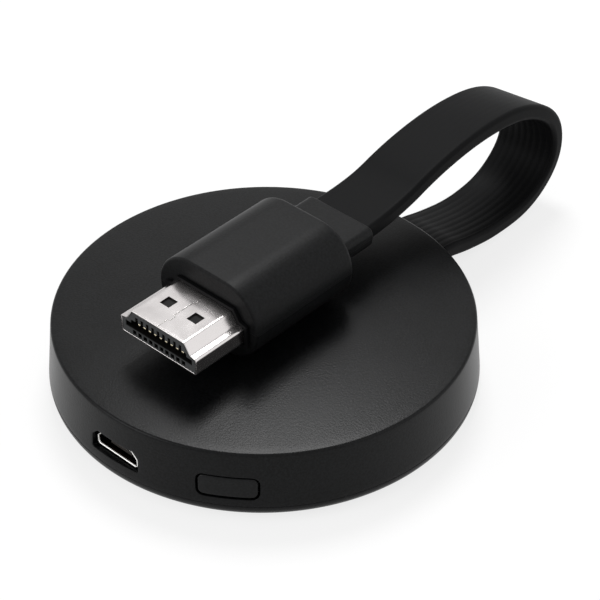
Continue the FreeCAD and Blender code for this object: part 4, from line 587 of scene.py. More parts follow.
def moulded_plastic(name, colour, roughness=0.45, fineness=4200.0, specular=0.3,
                    contrast=0.25, speckle=0.0):
    """Moulded plastic or rubber with a fine grain. The speckle makes the grain's hollows
    darker and its tops lighter."""
    values = {"Fineness": fineness, "Roughness": roughness, "Speckle": speckle}
    return grained(name, grain_group("Moulded grain", ("Speckle",), moulded_grain), values,
                   colour, contrast, 0.6, 0.00003, Specular_IOR_Level=specular)


def plated_metal(name, colour, roughness=0.25, fineness=3000.0, cloud=0.12):
    """Plated or plain sheet metal with fine drawing lines."""
    values = {"Fineness": fineness, "Roughness": roughness, "Cloud": cloud}
    return grained(name, grain_group("Drawn metal", ("Cloud",), drawn_metal), values,
                   colour, 0.05, 0.4, 0.000004, Metallic=1.0)


def board_laminate(name):
    """Green solder mask over copper tracks: the tracks are the edges of a fine net."""
    material, tree, shader = new_shader(name, Roughness=0.35)
    place = put(tree, "ShaderNodeTexCoord").outputs["Object"]
    cells = put(tree, "ShaderNodeTexVoronoi", {"Vector": place, "Scale": 900.0},
                feature="DISTANCE_TO_EDGE", distance="MANHATTAN")
    track = put(tree, "ShaderNodeMapRange",
                {"Value": cells.outputs["Distance"], "From Min": 0.05, "From Max": 0.09,
                 "To Min": 1.0, "To Max": 0.0}).outputs["Result"]
    mask, copper = (0.010, 0.085, 0.045, 1.0), (0.03, 0.17, 0.08, 1.0)
    tree.links.new(mixed(tree, track, mask, copper), shader["Base Color"])
    add_bump(tree, shader, track, 0.5, 0.00002)
    return material


def opened(material):
    """A material's tree, its shader's inputs, and X, Y and Z of a place on the object."""
    tree = material.node_tree
    place = put(tree, "ShaderNodeTexCoord").outputs["Object"]
    axes = put(tree, "ShaderNodeSeparateXYZ", {0: place}).outputs
    return tree, tree.nodes["Principled BSDF"].inputs, axes


def line_mask(tree, offset, half_width):
    """One within half a width of where the offset is nought, and none a width away."""
    return put(tree, "ShaderNodeMapRange",
               {"Value": maths(tree, "ABSOLUTE", offset), "From Min": 2 * half_width,
                "From Max": half_width, "To Min": 0.0, "To Max": 1.0}).outputs["Result"]


def paint_over(tree, shader, mask, colour):
    """The shader's own colour, and another where the mask is one."""
    own = shader["Base Color"].links[0].from_socket
    tree.links.new(mixed(tree, mask, own, (*colour, 1.0)), shader["Base Color"])


def add_parting_line(material, level, half_width, depth):
    """A fine raised line at a height, where the halves of a mould met."""
    tree, shader, axes = opened(material)
    off = maths(tree, "SUBTRACT", axes["Z"], level)
    add_bump(tree, shader, line_mask(tree, off, half_width), 0.8, depth)


def add_folded_seam(material, floor_level, swing, period, half_width):
    """The joint where the sheet's edges meet, down the middle of the narrow face. Its line
    steps aside at each dovetail: x = swing times the clipped crest of a sine of the
    length."""
    tree, shader, axes = opened(material)
    wave = maths(tree, "SINE", maths(tree, "MULTIPLY", axes["Y"], FULL_TURN / period))
    crest = maths(tree, "MULTIPLY_ADD", wave, 9.0, -6.0, clamp=True)
    off = maths(tree, "SUBTRACT", axes["X"], maths(tree, "MULTIPLY", crest, swing))
    above = maths(tree, "GREATER_THAN", axes["Z"], floor_level)
    mask = maths(tree, "MULTIPLY", line_mask(tree, off, half_width), above)
    add_bump(tree, shader, mask, 1.0, 0.00002, invert=True)
    paint_over(tree, shader, mask, (0.30, 0.29, 0.28))


def paint_shade_behind(material, distance, painted_shade):
    """Painted shade: the surface turns to a dark colour where it lies further along Y than a
    distance, in place of the shade deep inside a slot or a shell.
    """
    tree, shader, axes = opened(material)
    paint_over(tree, shader, maths(tree, "GREATER_THAN", axes["Y"], distance), painted_shade)


def paint_shade_within(material, radius, level, painted_shade):
    """Painted shade: below a level the surface turns dark, and matt, within a radius of the
    upright axis, so that the windows' reveals and the inside of the housing look shaded."""
    tree, shader, axes = opened(material)
    flat = put(tree, "ShaderNodeCombineXYZ", {0: axes["X"], 1: axes["Y"]}).outputs[0]
    reach = put(tree, "ShaderNodeVectorMath", {0: flat}, operation="LENGTH")
    near = maths(tree, "LESS_THAN", reach.outputs["Value"], radius)
    both = maths(tree, "MULTIPLY", near, maths(tree, "LESS_THAN", axes["Z"], level))
    paint_over(tree, shader, both, painted_shade)
    own = shader["Roughness"].links[0].from_socket
    tree.links.new(maths(tree, "MAXIMUM", both, own), shader["Roughness"])


# Housing


def taper_of(sizes):
    return sizes.wall_lean / (sizes.rim_height - sizes.seam_height)


def wall_radius(sizes, height):
    """Outer radius of the leaning wall at a height. Below the seam's rounding it draws in
    by a quarter circle."""
    rise = np.asarray(height, float) - sizes.seam_height
    low = np.clip(1.0 - rise / sizes.seam_line, 0.0, 1.0)
    return (sizes.seam_radius - taper_of(sizes) * rise
            - sizes.seam_line * (1.0 - np.sqrt(1.0 - low**2)))


def inner_radius(sizes, height):
    rise = np.asarray(height) - sizes.seam_height
    return sizes.seam_radius - sizes.wall - taper_of(sizes) * rise


def on_wall(points, facing, radius):
    """Points (across, height) of a window's plane carried straight back onto the wall:
    the distance outward is the root of radius squared less across squared."""
    across, height = points[..., :1], points[..., 1:]
    outward = np.sqrt(np.maximum(np.asarray(radius)[..., None]**2 - across**2, 0.0))
    out, side = axes_of(facing)
    return np.concatenate([across * side + outward * out, height], axis=-1)


class Window:
    """An opening cut straight through the wall, in a frame of whole cells of its grid."""

    def __init__(self, sizes, facing, middle, outline, half_frame, steps, levels,
                 open_below=False):
        self.sizes = sizes
        self.facing = facing
        self.middle = np.asarray(middle, float)
        self.outline = dense(outline)
        centre = facing + middle[0] / sizes.seam_radius
        side = half_frame / sizes.seam_radius
        self.turns = np.linspace(centre - side, centre + side, steps)
        self.levels = levels
        self.open_below = open_below

    def frame_places(self):
        """Turn and height of the points round the frame, anticlockwise seen from outside,
        from its lower right corner."""
        turns, levels = self.turns, self.levels
        right = np.stack([np.full(len(levels), turns[-1]), levels], axis=1)
        top = np.stack([turns[::-1], np.full(len(turns), levels[-1])], axis=1)
        left = np.stack([np.full(len(levels), turns[0]), levels[::-1]], axis=1)
        if self.open_below:
            return np.concatenate([right[:-1], top[:-1], left])
        bottom = np.stack([turns, np.full(len(turns), levels[0])], axis=1)
        return np.concatenate([right[:-1], top[:-1], left[:-1], bottom[:-1]])

    def rings(self, radius_of, outline, steps=7):
        """Rings on a face of the wall, from the frame to the outline, and the last one's
        places in the window's plane."""
        places = self.frame_places()
        turns, height = places[:, 0] - self.facing, places[:, 1]
        start = np.stack([radius_of(self.sizes, height) * np.sin(turns), height], axis=1)
        end = along_rays(outline, direction_of(start - self.middle)) + self.middle
        share = np.linspace(0.0, 1.0, steps)[:, None, None]
        flat = start * (1.0 - share) + end * share
        return on_wall(flat, self.facing, radius_of(self.sizes, flat[..., 1])), end

    def patches(self):
        """Both faces of the wall round the opening, the rounded edge and the reveal."""
        edge = self.sizes.window_edge
        outer, outer_end = self.rings(wall_radius, drawn_in(self.outline, -edge))
        inner = self.rings(inner_radius, self.outline)[0]
        hole = along_rays(self.outline, direction_of(outer_end - self.middle)) + self.middle
        if self.open_below:
            hole[[0, -1], 1] = outer_end[[0, -1], 1]
        lips = []
        for angle in np.array([0.3, 0.7, 1.0]) * math.pi / 2:
            flat = hole + (outer_end - hole) * (1.0 - math.sin(angle))
            radius = wall_radius(self.sizes, flat[:, 1]) - edge * (1.0 - math.cos(angle))
            lips.append(on_wall(flat, self.facing, radius))
        closed = not self.open_below
        reveal = np.stack([outer[-1], *lips, inner[-1]])
        made = [patch(outer, closed), patch(inner, closed), patch(reveal, closed)]
        for column in (0, -1) if self.open_below else ():
            lip = np.stack([outer[-1, column], *[ring[column] for ring in lips]])
            made.append(patch(np.stack([outer[:, column], inner[:, column]])))
            made.append(patch(np.stack([lip, np.broadcast_to(inner[-1, column], lip.shape)])))
        return made


def d_port_outline(width, height, bevel, corner, foot):
    """The port's shape: a rectangle whose two upper corners are bevelled."""
    right, high = width / 2, height / 2
    corners = [(right, -high), (right, high - bevel), (right - bevel, high),
               (bevel - right, high), (-right, high - bevel), (-right, -high)]
    return rounded(corners, [foot, corner, corner, corner, corner, foot], 7)


def rear_windows(sizes, below, framed):
    """The cable's slot, the port's window and the button's window, anticlockwise."""
    port, button, cable = settings().port, settings().button, settings().cable
    slot_shape = rounded_box(cable.gland_width + 2 * sizes.slot_gap,
                             2 * (cable.gland_height + sizes.slot_gap), sizes.slot_corner)
    port_shape = d_port_outline(port.window_width, port.window_height, port.bevel,
                                port.corner, port.corner)
    cap_shape = rounded_box(button.width + 2 * button.gap, button.height + 2 * button.gap,
                            button.corner + button.gap)
    return (
        Window(sizes, math.radians(90.0), (0.0, sizes.seam_height), slot_shape,
               half_frame=0.0074, steps=53, levels=np.concatenate([below, framed]),
               open_below=True),
        Window(sizes, math.radians(270.0), (port.shift, port.level), port_shape,
               half_frame=0.0069, steps=61, levels=framed),
        Window(sizes, button.angle, (0.0, button.level), cap_shape,
               half_frame=0.0056, steps=53, levels=framed),
    )


def rear_inside(sizes, facing):
    """The ribs that hold the board's edge down and the bosses with their bores."""
    roof = sizes.ceiling + sizes.roof_bite
    patches = []
    for number in range(12):
        out, side = axes_of(facing + (number - 0.5) * math.pi / 6)
        inner, outer = out * sizes.rib_inner, out * sizes.rib_outer
        side = side * sizes.rib_thickness / 2
        plan = np.array([inner - side, outer - side, outer + side, inner + side])
        patches.append(loft([np.column_stack([plan, np.full(4, level)])
                             for level in (sizes.board_top, roof)]))
    bore_end = sizes.board_top + sizes.bore_depth
    for number in range(3):
        profile = [(0.0, bore_end), (sizes.bore_radius, bore_end),
                   (sizes.bore_radius, sizes.board_top), (sizes.boss_radius, sizes.board_top),
                   (sizes.boss_radius, roof)]
        patches.append(post(profile, sizes.boss_ring, 30.0 + 120.0 * number, 36))
    return patches


def cover_plastic(name, roughness):
    return moulded_plastic(name, settings().finishes.cover, roughness=roughness,
                           fineness=3800.0, specular=0.13, contrast=0.80, speckle=3.5)


class DONGLE_OT_rear_cover(bpy.types.Operator):
    """Domed rear cover with its leaning wall, its windows and the ribs inside"""
    bl_idname = "dongle.rear_cover"
    bl_label = "Rear cover"

    def execute(self, context):
        sizes = settings().housing
        below = sizes.seam_height + np.array([0.0, 0.15, 0.4, 0.7, 1.0]) * sizes.seam_line
        framed = np.linspace(sizes.frame_low, sizes.frame_high, 19)
        windows = rear_windows(sizes, below, framed)
        slot = windows[0]
        marks = [mark for window in windows for mark in (window.turns[0], window.turns[-1])]
        marks.append(slot.turns[0] + FULL_TURN)
        counts = []
        for window, first, last in zip(windows, marks[1::2], marks[2::2]):
            spare = (last - first) * sizes.steps_around / FULL_TURN
            counts += [len(window.turns) - 1, max(2, int(spare) + 1)]
        angles = steps_between(marks, counts)
        middles = 0.5 * (angles[1:] + angles[:-1])
        angles = angles[:-1]

        rim = (float(wall_radius(sizes, sizes.rim_height)), sizes.rim_height)
        dome_radius = (rim[0]**2 + sizes.dome_rise**2) / (2 * sizes.dome_rise)
        reach = np.linspace(1.0, 0.0, 40)[1:] * (rim[0] - sizes.dome_edge)
        dome_middle = sizes.rim_height + sizes.dome_rise - dome_radius
        dome = np.stack([reach, dome_middle + np.sqrt(dome_radius**2 - reach**2)], axis=1)
        straight = np.linspace(sizes.frame_high, sizes.wall_top, 5)[1:]
        heights = np.concatenate([below, framed, straight])
        wall = np.stack([wall_radius(sizes, heights), heights], axis=1)
        bend = rounded([wall[-1], rim, dome[0]], [sizes.rim_round], 9, closed=False)
        outside = np.concatenate([wall, bend[1:-1], dome])
        heights = np.concatenate([below, framed, [0.0090, sizes.ceiling]])
        inside = np.stack([inner_radius(sizes, heights), heights], axis=1)
        flat = np.stack([np.linspace(1.0, 0.0, 6)[1:] * inside[-1, 0],
                         np.full(5, sizes.ceiling)], axis=1)
        inside = np.concatenate([inside, flat])

        def covered(window):
            return (middles > window.turns[0]) & (middles < window.turns[-1])

        def shown(profile):
            """The turned profile as a patch, less what the windows' frames cover."""
            keep = np.ones((len(profile) - 1, len(angles)), bool)
            level = 0.5 * (profile[:-1, 1] + profile[1:, 1])
            on_side = profile[1:, 0] > sizes.side_reach
            for window in windows:
                low = -1.0 if window.open_below else window.levels[0]
                rows = (level > low) & (level < window.levels[-1]) & on_side
                keep[np.ix_(rows, covered(window))] = False
            return patch(turned_profile(profile, angles), True, keep)

        foot = np.stack([outside[0], inside[0]])
        patches = [shown(outside), shown(inside),
                   patch(turned_profile(foot, angles), True, ~covered(slot)[None])]
        for window in windows:
            patches += window.patches()
        patches += rear_inside(sizes, settings().button.angle)
        material = cover_plastic("Satin cover", 0.30)
        # Painted shade on the windows' reveals and all inside the housing: a dark colour within
        # a radius of the axis, below a level.
        paint_shade_within(material, radius=sizes.seam_radius - 0.0012, level=0.0100,
                      painted_shade=(0.0012, 0.0012, 0.0013))
        make_piece("rear_cover", patches, material)
        return {"FINISHED"}


class DONGLE_OT_front_cover(bpy.types.Operator):
    """Shallow front cover with its rounded edge, its lip and the posts inside"""
    bl_idname = "dongle.front_cover"
    bl_label = "Front cover"

    def execute(self, context):
        sizes = settings().housing
        lip = sizes.seam_radius - sizes.wall - sizes.lip_gap
        lip_inside = lip - sizes.lip_wall
        lip_top = sizes.seam_height + sizes.lip_height
        corners = [
            (0.0, 0.0), (sizes.foot_radius, 0.0), (sizes.seam_radius, sizes.edge_rise),
            (sizes.seam_radius, sizes.seam_height), (lip, sizes.seam_height),
            (lip - taper_of(sizes) * sizes.lip_height, lip_top), (lip_inside, lip_top),
            (lip_inside, sizes.floor_wall), (0.0, sizes.floor_wall),
        ]
        lip_root, lip_edge, inner_bend = 0.00002, 0.0001, 0.0003
        radii = [sizes.foot_bend, sizes.edge_round, sizes.seam_line, lip_root, lip_edge,
                 lip_edge, inner_bend]
        profile = rounded(corners, radii, 10, closed=False)
        patches = [patch(turned_profile(profile, round_about(240)), True)]
        for number in range(4):
            forms = [(sizes.post_radius, sizes.post_foot, sizes.spreader_low)]
            if number % 2 == 0:
                forms.append((sizes.pin_radius, sizes.pin_foot, sizes.spreader_high))
            for radius, low, high in forms:
                profile = [(0.0, low), (radius, low), (radius, high), (0.0, high)]
                patches.append(post(profile, sizes.post_ring, 45.0 + 90.0 * number))
        make_piece("front_cover", patches, cover_plastic("Satin front", 0.32))
        return {"FINISHED"}


class DONGLE_OT_port_lip(bpy.types.Operator):
    """Flared lip at the mouth of the power port's shell: the shell's outline carried
    forward and grown by the flare, with a rounded edge"""
    bl_idname = "dongle.port_lip"
    bl_label = "Port lip"

    def execute(self, context):
        port = settings().port
        outline = dense(d_port_outline(port.width, port.height, port.bevel, port.corner,
                                       port.foot), 400)

        def ring(inset, distance):
            return upright(drawn_in(outline, inset), -distance, port.level, port.shift)

        half = port.sheet / 2
        front = port.mouth + port.lip_reach - half
        rings = [ring(0.0, port.mouth)]
        for angle in np.linspace(0.0, math.pi, 9):
            rings.append(ring(half - half * math.cos(angle) - port.flare,
                              front + half * math.sin(angle)))
        rings += [ring(port.sheet, port.mouth), ring(0.0, port.mouth)]
        # The lip's lighter plate is a painted highlight on the port's mouth.
        material = plated_metal("Port lip", settings().finishes.lip, roughness=0.30)
        make_piece("port_lip", [loft(rings, ends=False)], material,
                   replaces=False)
        return {"FINISHED"}


class DONGLE_OT_button(bpy.types.Operator):
    """Button cap whose face follows the wall, with its flange and pusher"""
    bl_idname = "dongle.button"
    bl_label = "Button"

    def execute(self, context):
        sizes, button = settings().housing, settings().button
        turns = round_about(160, -math.pi)
        out, side = axes_of(button.angle)

        def outline(grown):
            """The cap's outline, grown all round."""
            box = rounded_box(button.width + 2 * grown, button.height + 2 * grown,
                              button.corner + grown)
            return along_rays(dense(box), turns)

        def at_wall(flat, sunk):
            places = flat + (0.0, button.level)
            return on_wall(places, button.angle, wall_radius(sizes, places[:, 1]) - sunk)

        def at_depth(flat, distance):
            plan = flat[:, :1] * side + distance * out
            return np.column_stack([plan, flat[:, 1] + button.level])

        cap, inset, flange = outline(0.0), outline(-button.edge), outline(button.flange)
        pusher = button.pusher_radius * np.stack([np.cos(turns), np.sin(turns)], axis=1)
        rings = [at_wall(inset * share, button.sunk) for share in (0.001, 0.25, 0.5, 0.75, 1.0)]
        rings += [at_wall(inset + (cap - inset) * rise, button.sunk + button.edge * drop)
                  for rise, drop in quarter(6, 0.15)]
        close_by = 0.00005
        rings += [at_depth(cap, button.flange_face + close_by),
                  at_depth(cap, button.flange_face),
                  at_depth(flange, button.flange_face),
                  at_depth(flange, button.flange_back),
                  at_depth(pusher, button.flange_back),
                  at_depth(pusher, button.pusher_tip)]
        material = moulded_plastic("Satin button", settings().finishes.button,
                                   roughness=0.36, fineness=3400.0, specular=0.15,
                                   contrast=0.5, speckle=3.5)
        make_piece("button_cap", [loft(rings)], material, body="button")
        return {"FINISHED"}


# Cable and gland


def cable_line():
    """The route's smooth line, read from a NURBS curve that has no bevel."""
    curve = bpy.data.curves.new("cable_line", "CURVE")
    curve.dimensions = "3D"
    curve.resolution_u = 28
    spline = curve.splines.new("NURBS")
    count = len(CABLE_ROUTE)
    spline.points.add(count - 1)
    spline.points.foreach_set("co", np.column_stack([CABLE_ROUTE, np.ones(count)]).ravel())
    spline.order_u = 3
    spline.use_endpoint_u = True
    guide = bpy.data.objects.new("cable_line", curve)
    bpy.context.scene.collection.objects.link(guide)
    bpy.context.view_layer.update()
    mesh = bpy.data.meshes.new_from_object(guide)
    points = np.empty(len(mesh.vertices) * 3)
    mesh.vertices.foreach_get("co", points)
    bpy.data.objects.remove(guide)
    bpy.data.curves.remove(curve)
    bpy.data.meshes.remove(mesh)
    return points.reshape(-1, 3)


def ribbed_section(cable):
    """Section of the flat cable: a rectangle with round corners, whose two wide faces sink
    at the lines between the ribs by depth times a narrow bell of the distance. It sinks
    less on the face that lies outside in the loop."""
    outline = dense(rounded_box(cable.width, cable.thickness, cable.corner), 260)
    across, up = outline[:, 0], outline[:, 1]
    pitch = (cable.width - 2 * cable.corner) / max(cable.rib_count, 1)
    phase = across / pitch + cable.rib_count / 2
    distance = np.abs(phase - np.round(phase)) * pitch
    hair, outside_share = 1e-5, 0.12
    wide_face = np.abs(up) > cable.thickness / 2 - hair
    bell = np.exp(-(distance / cable.rib_line) ** 2)
    depth = cable.rib_depth * np.where(up > 0, 1.0, outside_share)
    return np.stack([across, up - np.sign(up) * np.where(wide_face, bell * depth, 0.0)],
                    axis=1)


class DONGLE_OT_cable(bpy.types.Operator):
    """Flat ribbed cable that loops from the gland to the plug's sleeve"""
    bl_idname = "dongle.cable"
    bl_label = "Flat cable"

    def execute(self, context):
        cable = settings().cable
        line = cable_line()
        line = line[np.diff(run_along(line), prepend=-1.0) > SAME_PLACE]
        run = run_along(line)
        along = unit(np.gradient(line, run, axis=0))
        inward = unit(np.cross(np.array([1.0, 0.0, 0.0]), along))
        across = np.cross(along, inward)
        roll = np.radians(np.interp(run / run[-1], *CABLE_ROLL.T))[:, None]
        side = across * np.cos(roll) + inward * np.sin(roll)
        face = inward * np.cos(roll) - across * np.sin(roll)
        section = ribbed_section(cable)
        rings = (line[:, None, :] + section[None, :, 0, None] * side[:, None, :]
                 + section[None, :, 1, None] * face[:, None, :])
        material = moulded_plastic("Cable jacket", settings().finishes.jacket,
                                   roughness=0.50, fineness=5000.0, specular=0.05)
        piece = make_piece("flat_cable", [loft(rings)], material, crease=60.0)
        carried = [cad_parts[name] for name in
                   ("plug_inner_mould", "plug_lower_contacts", "plug_shield_can",
                    "plug_core_comb", "plug_cores")]
        carried += [bpy.data.objects[name] for name in
                    ("plug_boot_finish", "plug_shell_finish", "plug_contact_block_finish",
                     "plug_upper_contacts_finish", "cable_gland_finish")]
        return {"FINISHED"}


class DONGLE_OT_gland(bpy.types.Operator):
    """Rubber gland where the cable leaves the housing"""
    bl_idname = "dongle.gland"
    bl_label = "Cable gland"

    def execute(self, context):
        cable = settings().cable
        low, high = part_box("cable_gland")
        turns = round_about(144, -math.pi)

        def ring(width, height, corner, distance):
            flat = along_rays(dense(rounded_box(width, height, corner)), turns)
            return upright(flat, distance, cable.level)

        wide, tall = high[0] - low[0], high[2] - low[2]
        neck = (cable.gland_width, cable.gland_height, cable.gland_corner)
        flange_end = low[1] + cable.gland_flange
        rings = [ring(wide, tall, cable.gland_corner, low[1]),
                 ring(wide, tall, cable.gland_corner, flange_end), ring(*neck, flange_end)]
        edge, nose = cable.gland_edge, cable.gland_nose
        rings += [ring(neck[0] - 2 * edge * drop, neck[1] - 2 * edge * drop,
                       neck[2] - 0.5 * edge * drop, nose - edge + edge * rise)
                  for rise, drop in quarter(7)]
        bevel = 2 * cable.mouth_gap
        rings += [ring(cable.width + bevel, cable.thickness + bevel, cable.corner, nose),
                  ring(cable.width, cable.thickness, cable.corner, nose - cable.mouth_depth)]
        material = moulded_plastic("Gland rubber", settings().finishes.jacket,
                                   roughness=0.5, specular=0.05)
        make_piece("cable_gland", [loft(rings)], material)
        return {"FINISHED"}


# Plug


def plug_outline(plug, grow=0.0, corner=None):
    """The plug's section with its narrow face up, anticlockwise about the axis: upright
    sides, a ledge above each, and slopes to the narrow face. It can be grown outwards."""
    corner = corner or plug.shell_corner
    wide, low, high = plug.shell_width / 2, -plug.shell_height / 2, plug.shell_height / 2
    side = low + plug.shell_side
    ledge = wide - plug.shell_ledge
    narrow = plug.shell_narrow / 2
    right = [(wide, low), (wide, side), (ledge, side + plug.shell_ledge_rise), (narrow, high)]
    corners = right + [(-across, up) for across, up in reversed(right)]
    shoulder, inner_bend = 0.00035, 0.0003
    radii = [corner, shoulder, inner_bend, corner, corner, inner_bend, shoulder, corner]
    return drawn_in(dense(rounded(corners, radii, 8), 1600), -grow)


class DONGLE_OT_plug_shell(bpy.types.Operator):
    """Stamped plug shell with its latch windows"""
    bl_idname = "dongle.plug_shell"
    bl_label = "Plug shell"

    def execute(self, context):
        plug = settings().plug
        sheet, half = plug.shell_wall, plug.shell_height / 2
        near = plug.latch_from_tip
        far = near + plug.latch_length
        inner_edge = plug.latch_spread / 2 - plug.latch_width / 2
        outer_edge = inner_edge + plug.latch_width
        face_end = plug.shell_narrow / 2 - plug.shell_corner
        foot_end = plug.shell_width / 2 - plug.shell_corner
        rounding = 0.3 * sheet

        face = steps_between([-face_end, -outer_edge, -inner_edge, inner_edge, outer_edge,
                              face_end], [3, 4, 8, 4, 3])
        lengths = steps_between([rounding, near, far, plug.shell_length], [7, 4, 13])
        outline = plug_outline(plug)
        across, own = outline[:, 0], direction_of(outline)
        above = outline[:, 1] > -half + SAME_PLACE
        corner_turn = math.atan2(half, face_end)
        right = outline[above & (across > 0) & (own < corner_turn)][::7]
        left = outline[above & (across < 0) & (np.abs(own) > math.pi - corner_turn)
                       | above & (across < 0) & (own < 0)][::7]
        bottom = np.concatenate([[-foot_end], face, [foot_end]])
        ring = np.vstack([
            np.column_stack([bottom, np.full(len(bottom), -half)]), right,
            np.column_stack([face[::-1], np.full(len(face), half)]), left])
        inner = drawn_in(ring, sheet)

        def at(flat, distance):
            return upright(flat, distance - plug.tip, plug.level)

        outer_rows = [at(ring, distance) for distance in lengths]
        inner_rows = [at(inner, distance) for distance in lengths]
        rim = [at(drawn_in(ring, rounding * drop), rounding * (1.0 - rise))
               for rise, drop in quarter(6)][1:]
        rim += [at(drawn_in(ring, sheet - 0.5 * rounding * (1.0 - rise)),
                   0.5 * rounding * drop) for rise, drop in quarter(4)]
        middle = 0.5 * (ring + np.roll(ring, -1, 0))
        on_face = np.abs(np.abs(middle[:, 1]) - half) < SAME_PLACE
        reach = np.abs(middle[:, 0])
        depth = 0.5 * (lengths[:-1] + lengths[1:])
        in_window = on_face & (reach > inner_edge) & (reach < outer_edge)
        keep = ~(((depth > near) & (depth < far))[:, None] & in_window[None, :])
        patches = [
            patch(np.stack(outer_rows), True, keep),
            patch(np.stack(inner_rows), True, keep),
            patch(np.stack([outer_rows[0], *rim, inner_rows[0]]), True),
            patch(np.stack([outer_rows[-1], inner_rows[-1]]), True),
        ]
        box = [(inner_edge, near), (outer_edge, near), (outer_edge, far), (inner_edge, far),
               (inner_edge, near)]
        flat = np.concatenate([np.linspace(first, last, 5) for first, last in zip(box, box[1:])])
        for mirror in (1, -1):
            for level, inside in ((half, half - sheet), (-half, sheet - half)):
                patches.append(patch(np.stack([np.column_stack([
                    mirror * flat[:, 0], flat[:, 1] - plug.tip,
                    np.full(len(flat), plug.level + height)])
                    for height in (level, inside)]), True))
        material = plated_metal("Nickel plate", settings().finishes.plate, roughness=0.19)
        add_folded_seam(material, floor_level=plug.level + half - 0.0002, swing=0.00032,
                        period=0.0046, half_width=0.000035)
        make_piece("plug_shell", patches, material, crease=28.0)
        return {"FINISHED"}


def sunk_face(across, up, depth, top_of):
    """A flat face as a grid of cells, each sunk to its own depth, with a wall wherever two
    neighbours differ. No point lies higher than the outline's top at its place."""
    level = np.minimum(up[:, None], top_of(across)[None, :])
    place = np.broadcast_to(across[None, :], level.shape)

    def corners(rows, columns, depths):
        return np.stack([place[rows, columns], depths, level[rows, columns]], axis=-1)

    row, column = np.indices(depth.shape)
    quads = [np.stack([corners(row + down, column + side, depth)
                       for down, side in ((0, 0), (0, 1), (1, 1), (1, 0))],
                      axis=-2).reshape(-1, 4, 3)]
    for down, side in ((0, 1), (1, 0)):
        own = depth[:depth.shape[0] - down, :depth.shape[1] - side]
        next_to = depth[down:, side:]
        row, column = np.nonzero(own != next_to)
        one, other = own[row, column], next_to[row, column]
        start, end = (row + down, column + side), (row + 1, column + 1)
        quads.append(np.stack([corners(*start, one), corners(*end, one),
                               corners(*end, other), corners(*start, other)], axis=1))
    points = np.concatenate(quads)
    edge = np.concatenate([
        np.stack([place[0], level[0]], axis=1),
        np.stack([place[1:, -1], level[1:, -1]], axis=1),
        np.stack([place[-1, -2::-1], level[-1, -2::-1]], axis=1),
        np.stack([place[-2:0:-1, 0], level[-2:0:-1, 0]], axis=1),
    ])
    return points.reshape(-1, 3), np.arange(len(points) * 4).reshape(-1, 4), edge


class DONGLE_OT_contact_block(bpy.types.Operator):
    """Plastic block in the plug: a face whose slot, grooves and holes are cells of a grid
    sunk to their depth, and sides that follow the shell inside"""
    bl_idname = "dongle.contact_block"
    bl_label = "Contact block"

    def execute(self, context):
        plug = settings().plug
        ring = plug_outline(plug, grow=-(plug.shell_wall + plug.block_gap), corner=0.0003)
        side_top = -plug.shell_height / 2 + plug.shell_side - 0.00005
        crown = ring[(ring[:, 1] > side_top) & (ring[:, 0] >= 0)]
        crown = crown[np.argsort(crown[:, 0])]
        wide, low = ring[:, 0].max(), ring[:, 1].min()

        def top_of(across):
            return np.interp(np.abs(across), crown[:, 0], crown[:, 1])

        half, step = plug.slot_width / 2, plug.slot_step
        groove_half, hole_half = plug.groove_width / 2, plug.hole_width / 2
        grooves = (np.arange(9) - 4) * plug.pitch
        holes = (np.arange(10) - 4.5) * plug.pitch
        marks = [crown[::40, 0], -crown[::40, 0], [-wide, wide, -half, half],
                 [step - half, half - step], grooves - groove_half, grooves + groove_half,
                 holes - hole_half, holes + hole_half]
        across = np.unique(np.concatenate(marks).round(7))
        up = np.array([low, -plug.hole_low, -plug.hole_high, -plug.slot_low, 0.0,
                       plug.slot_top, plug.groove_top, ring[:, 1].max()])
        middle = 0.5 * (across[1:] + across[:-1])[None, :]
        level = 0.5 * (up[1:] + up[:-1])[:, None]

        def cells(bottom, top, centres, half_width):
            """Cells between two heights, near enough to one of the centres."""
            off = np.abs(middle - np.asarray(centres)[:, None, None]).min(0)
            return (level > bottom) & (level < top) & (off < half_width)

        slot = cells(-plug.slot_low, plug.slot_top, [0.0],
                     half - np.where(level > 0, step, 0.0))
        groove = cells(plug.slot_top, plug.groove_top, grooves, groove_half)
        hole = cells(-plug.hole_low, -plug.hole_high, holes, hole_half)
        depth = np.where(slot | groove, plug.slot_depth, np.where(hole, plug.hole_depth, 0.0))
        points, quads, edge = sunk_face(across, up, depth, top_of)
        face = plug.block_recess - plug.tip
        points = points + (0.0, face, plug.level)
        front, rear = (upright(edge, distance, plug.level)
                       for distance in (face, face + plug.block_length))
        back = np.stack([rear, np.broadcast_to(rear.mean(0), rear.shape)])
        material = moulded_plastic("Contact block", settings().finishes.block, roughness=0.55,
                                   specular=0.15, contrast=0.12)
        # Painted shade in the slot, grooves and holes: the block turns near black just behind
        # its face.
        paint_shade_behind(material, distance=face + 0.00012, painted_shade=(0.0025, 0.0022, 0.0021))
        patches = [(points, quads), patch(np.stack([front, rear]), True), patch(back, True)]
        make_piece("plug_contact_block", patches, material)
        return {"FINISHED"}


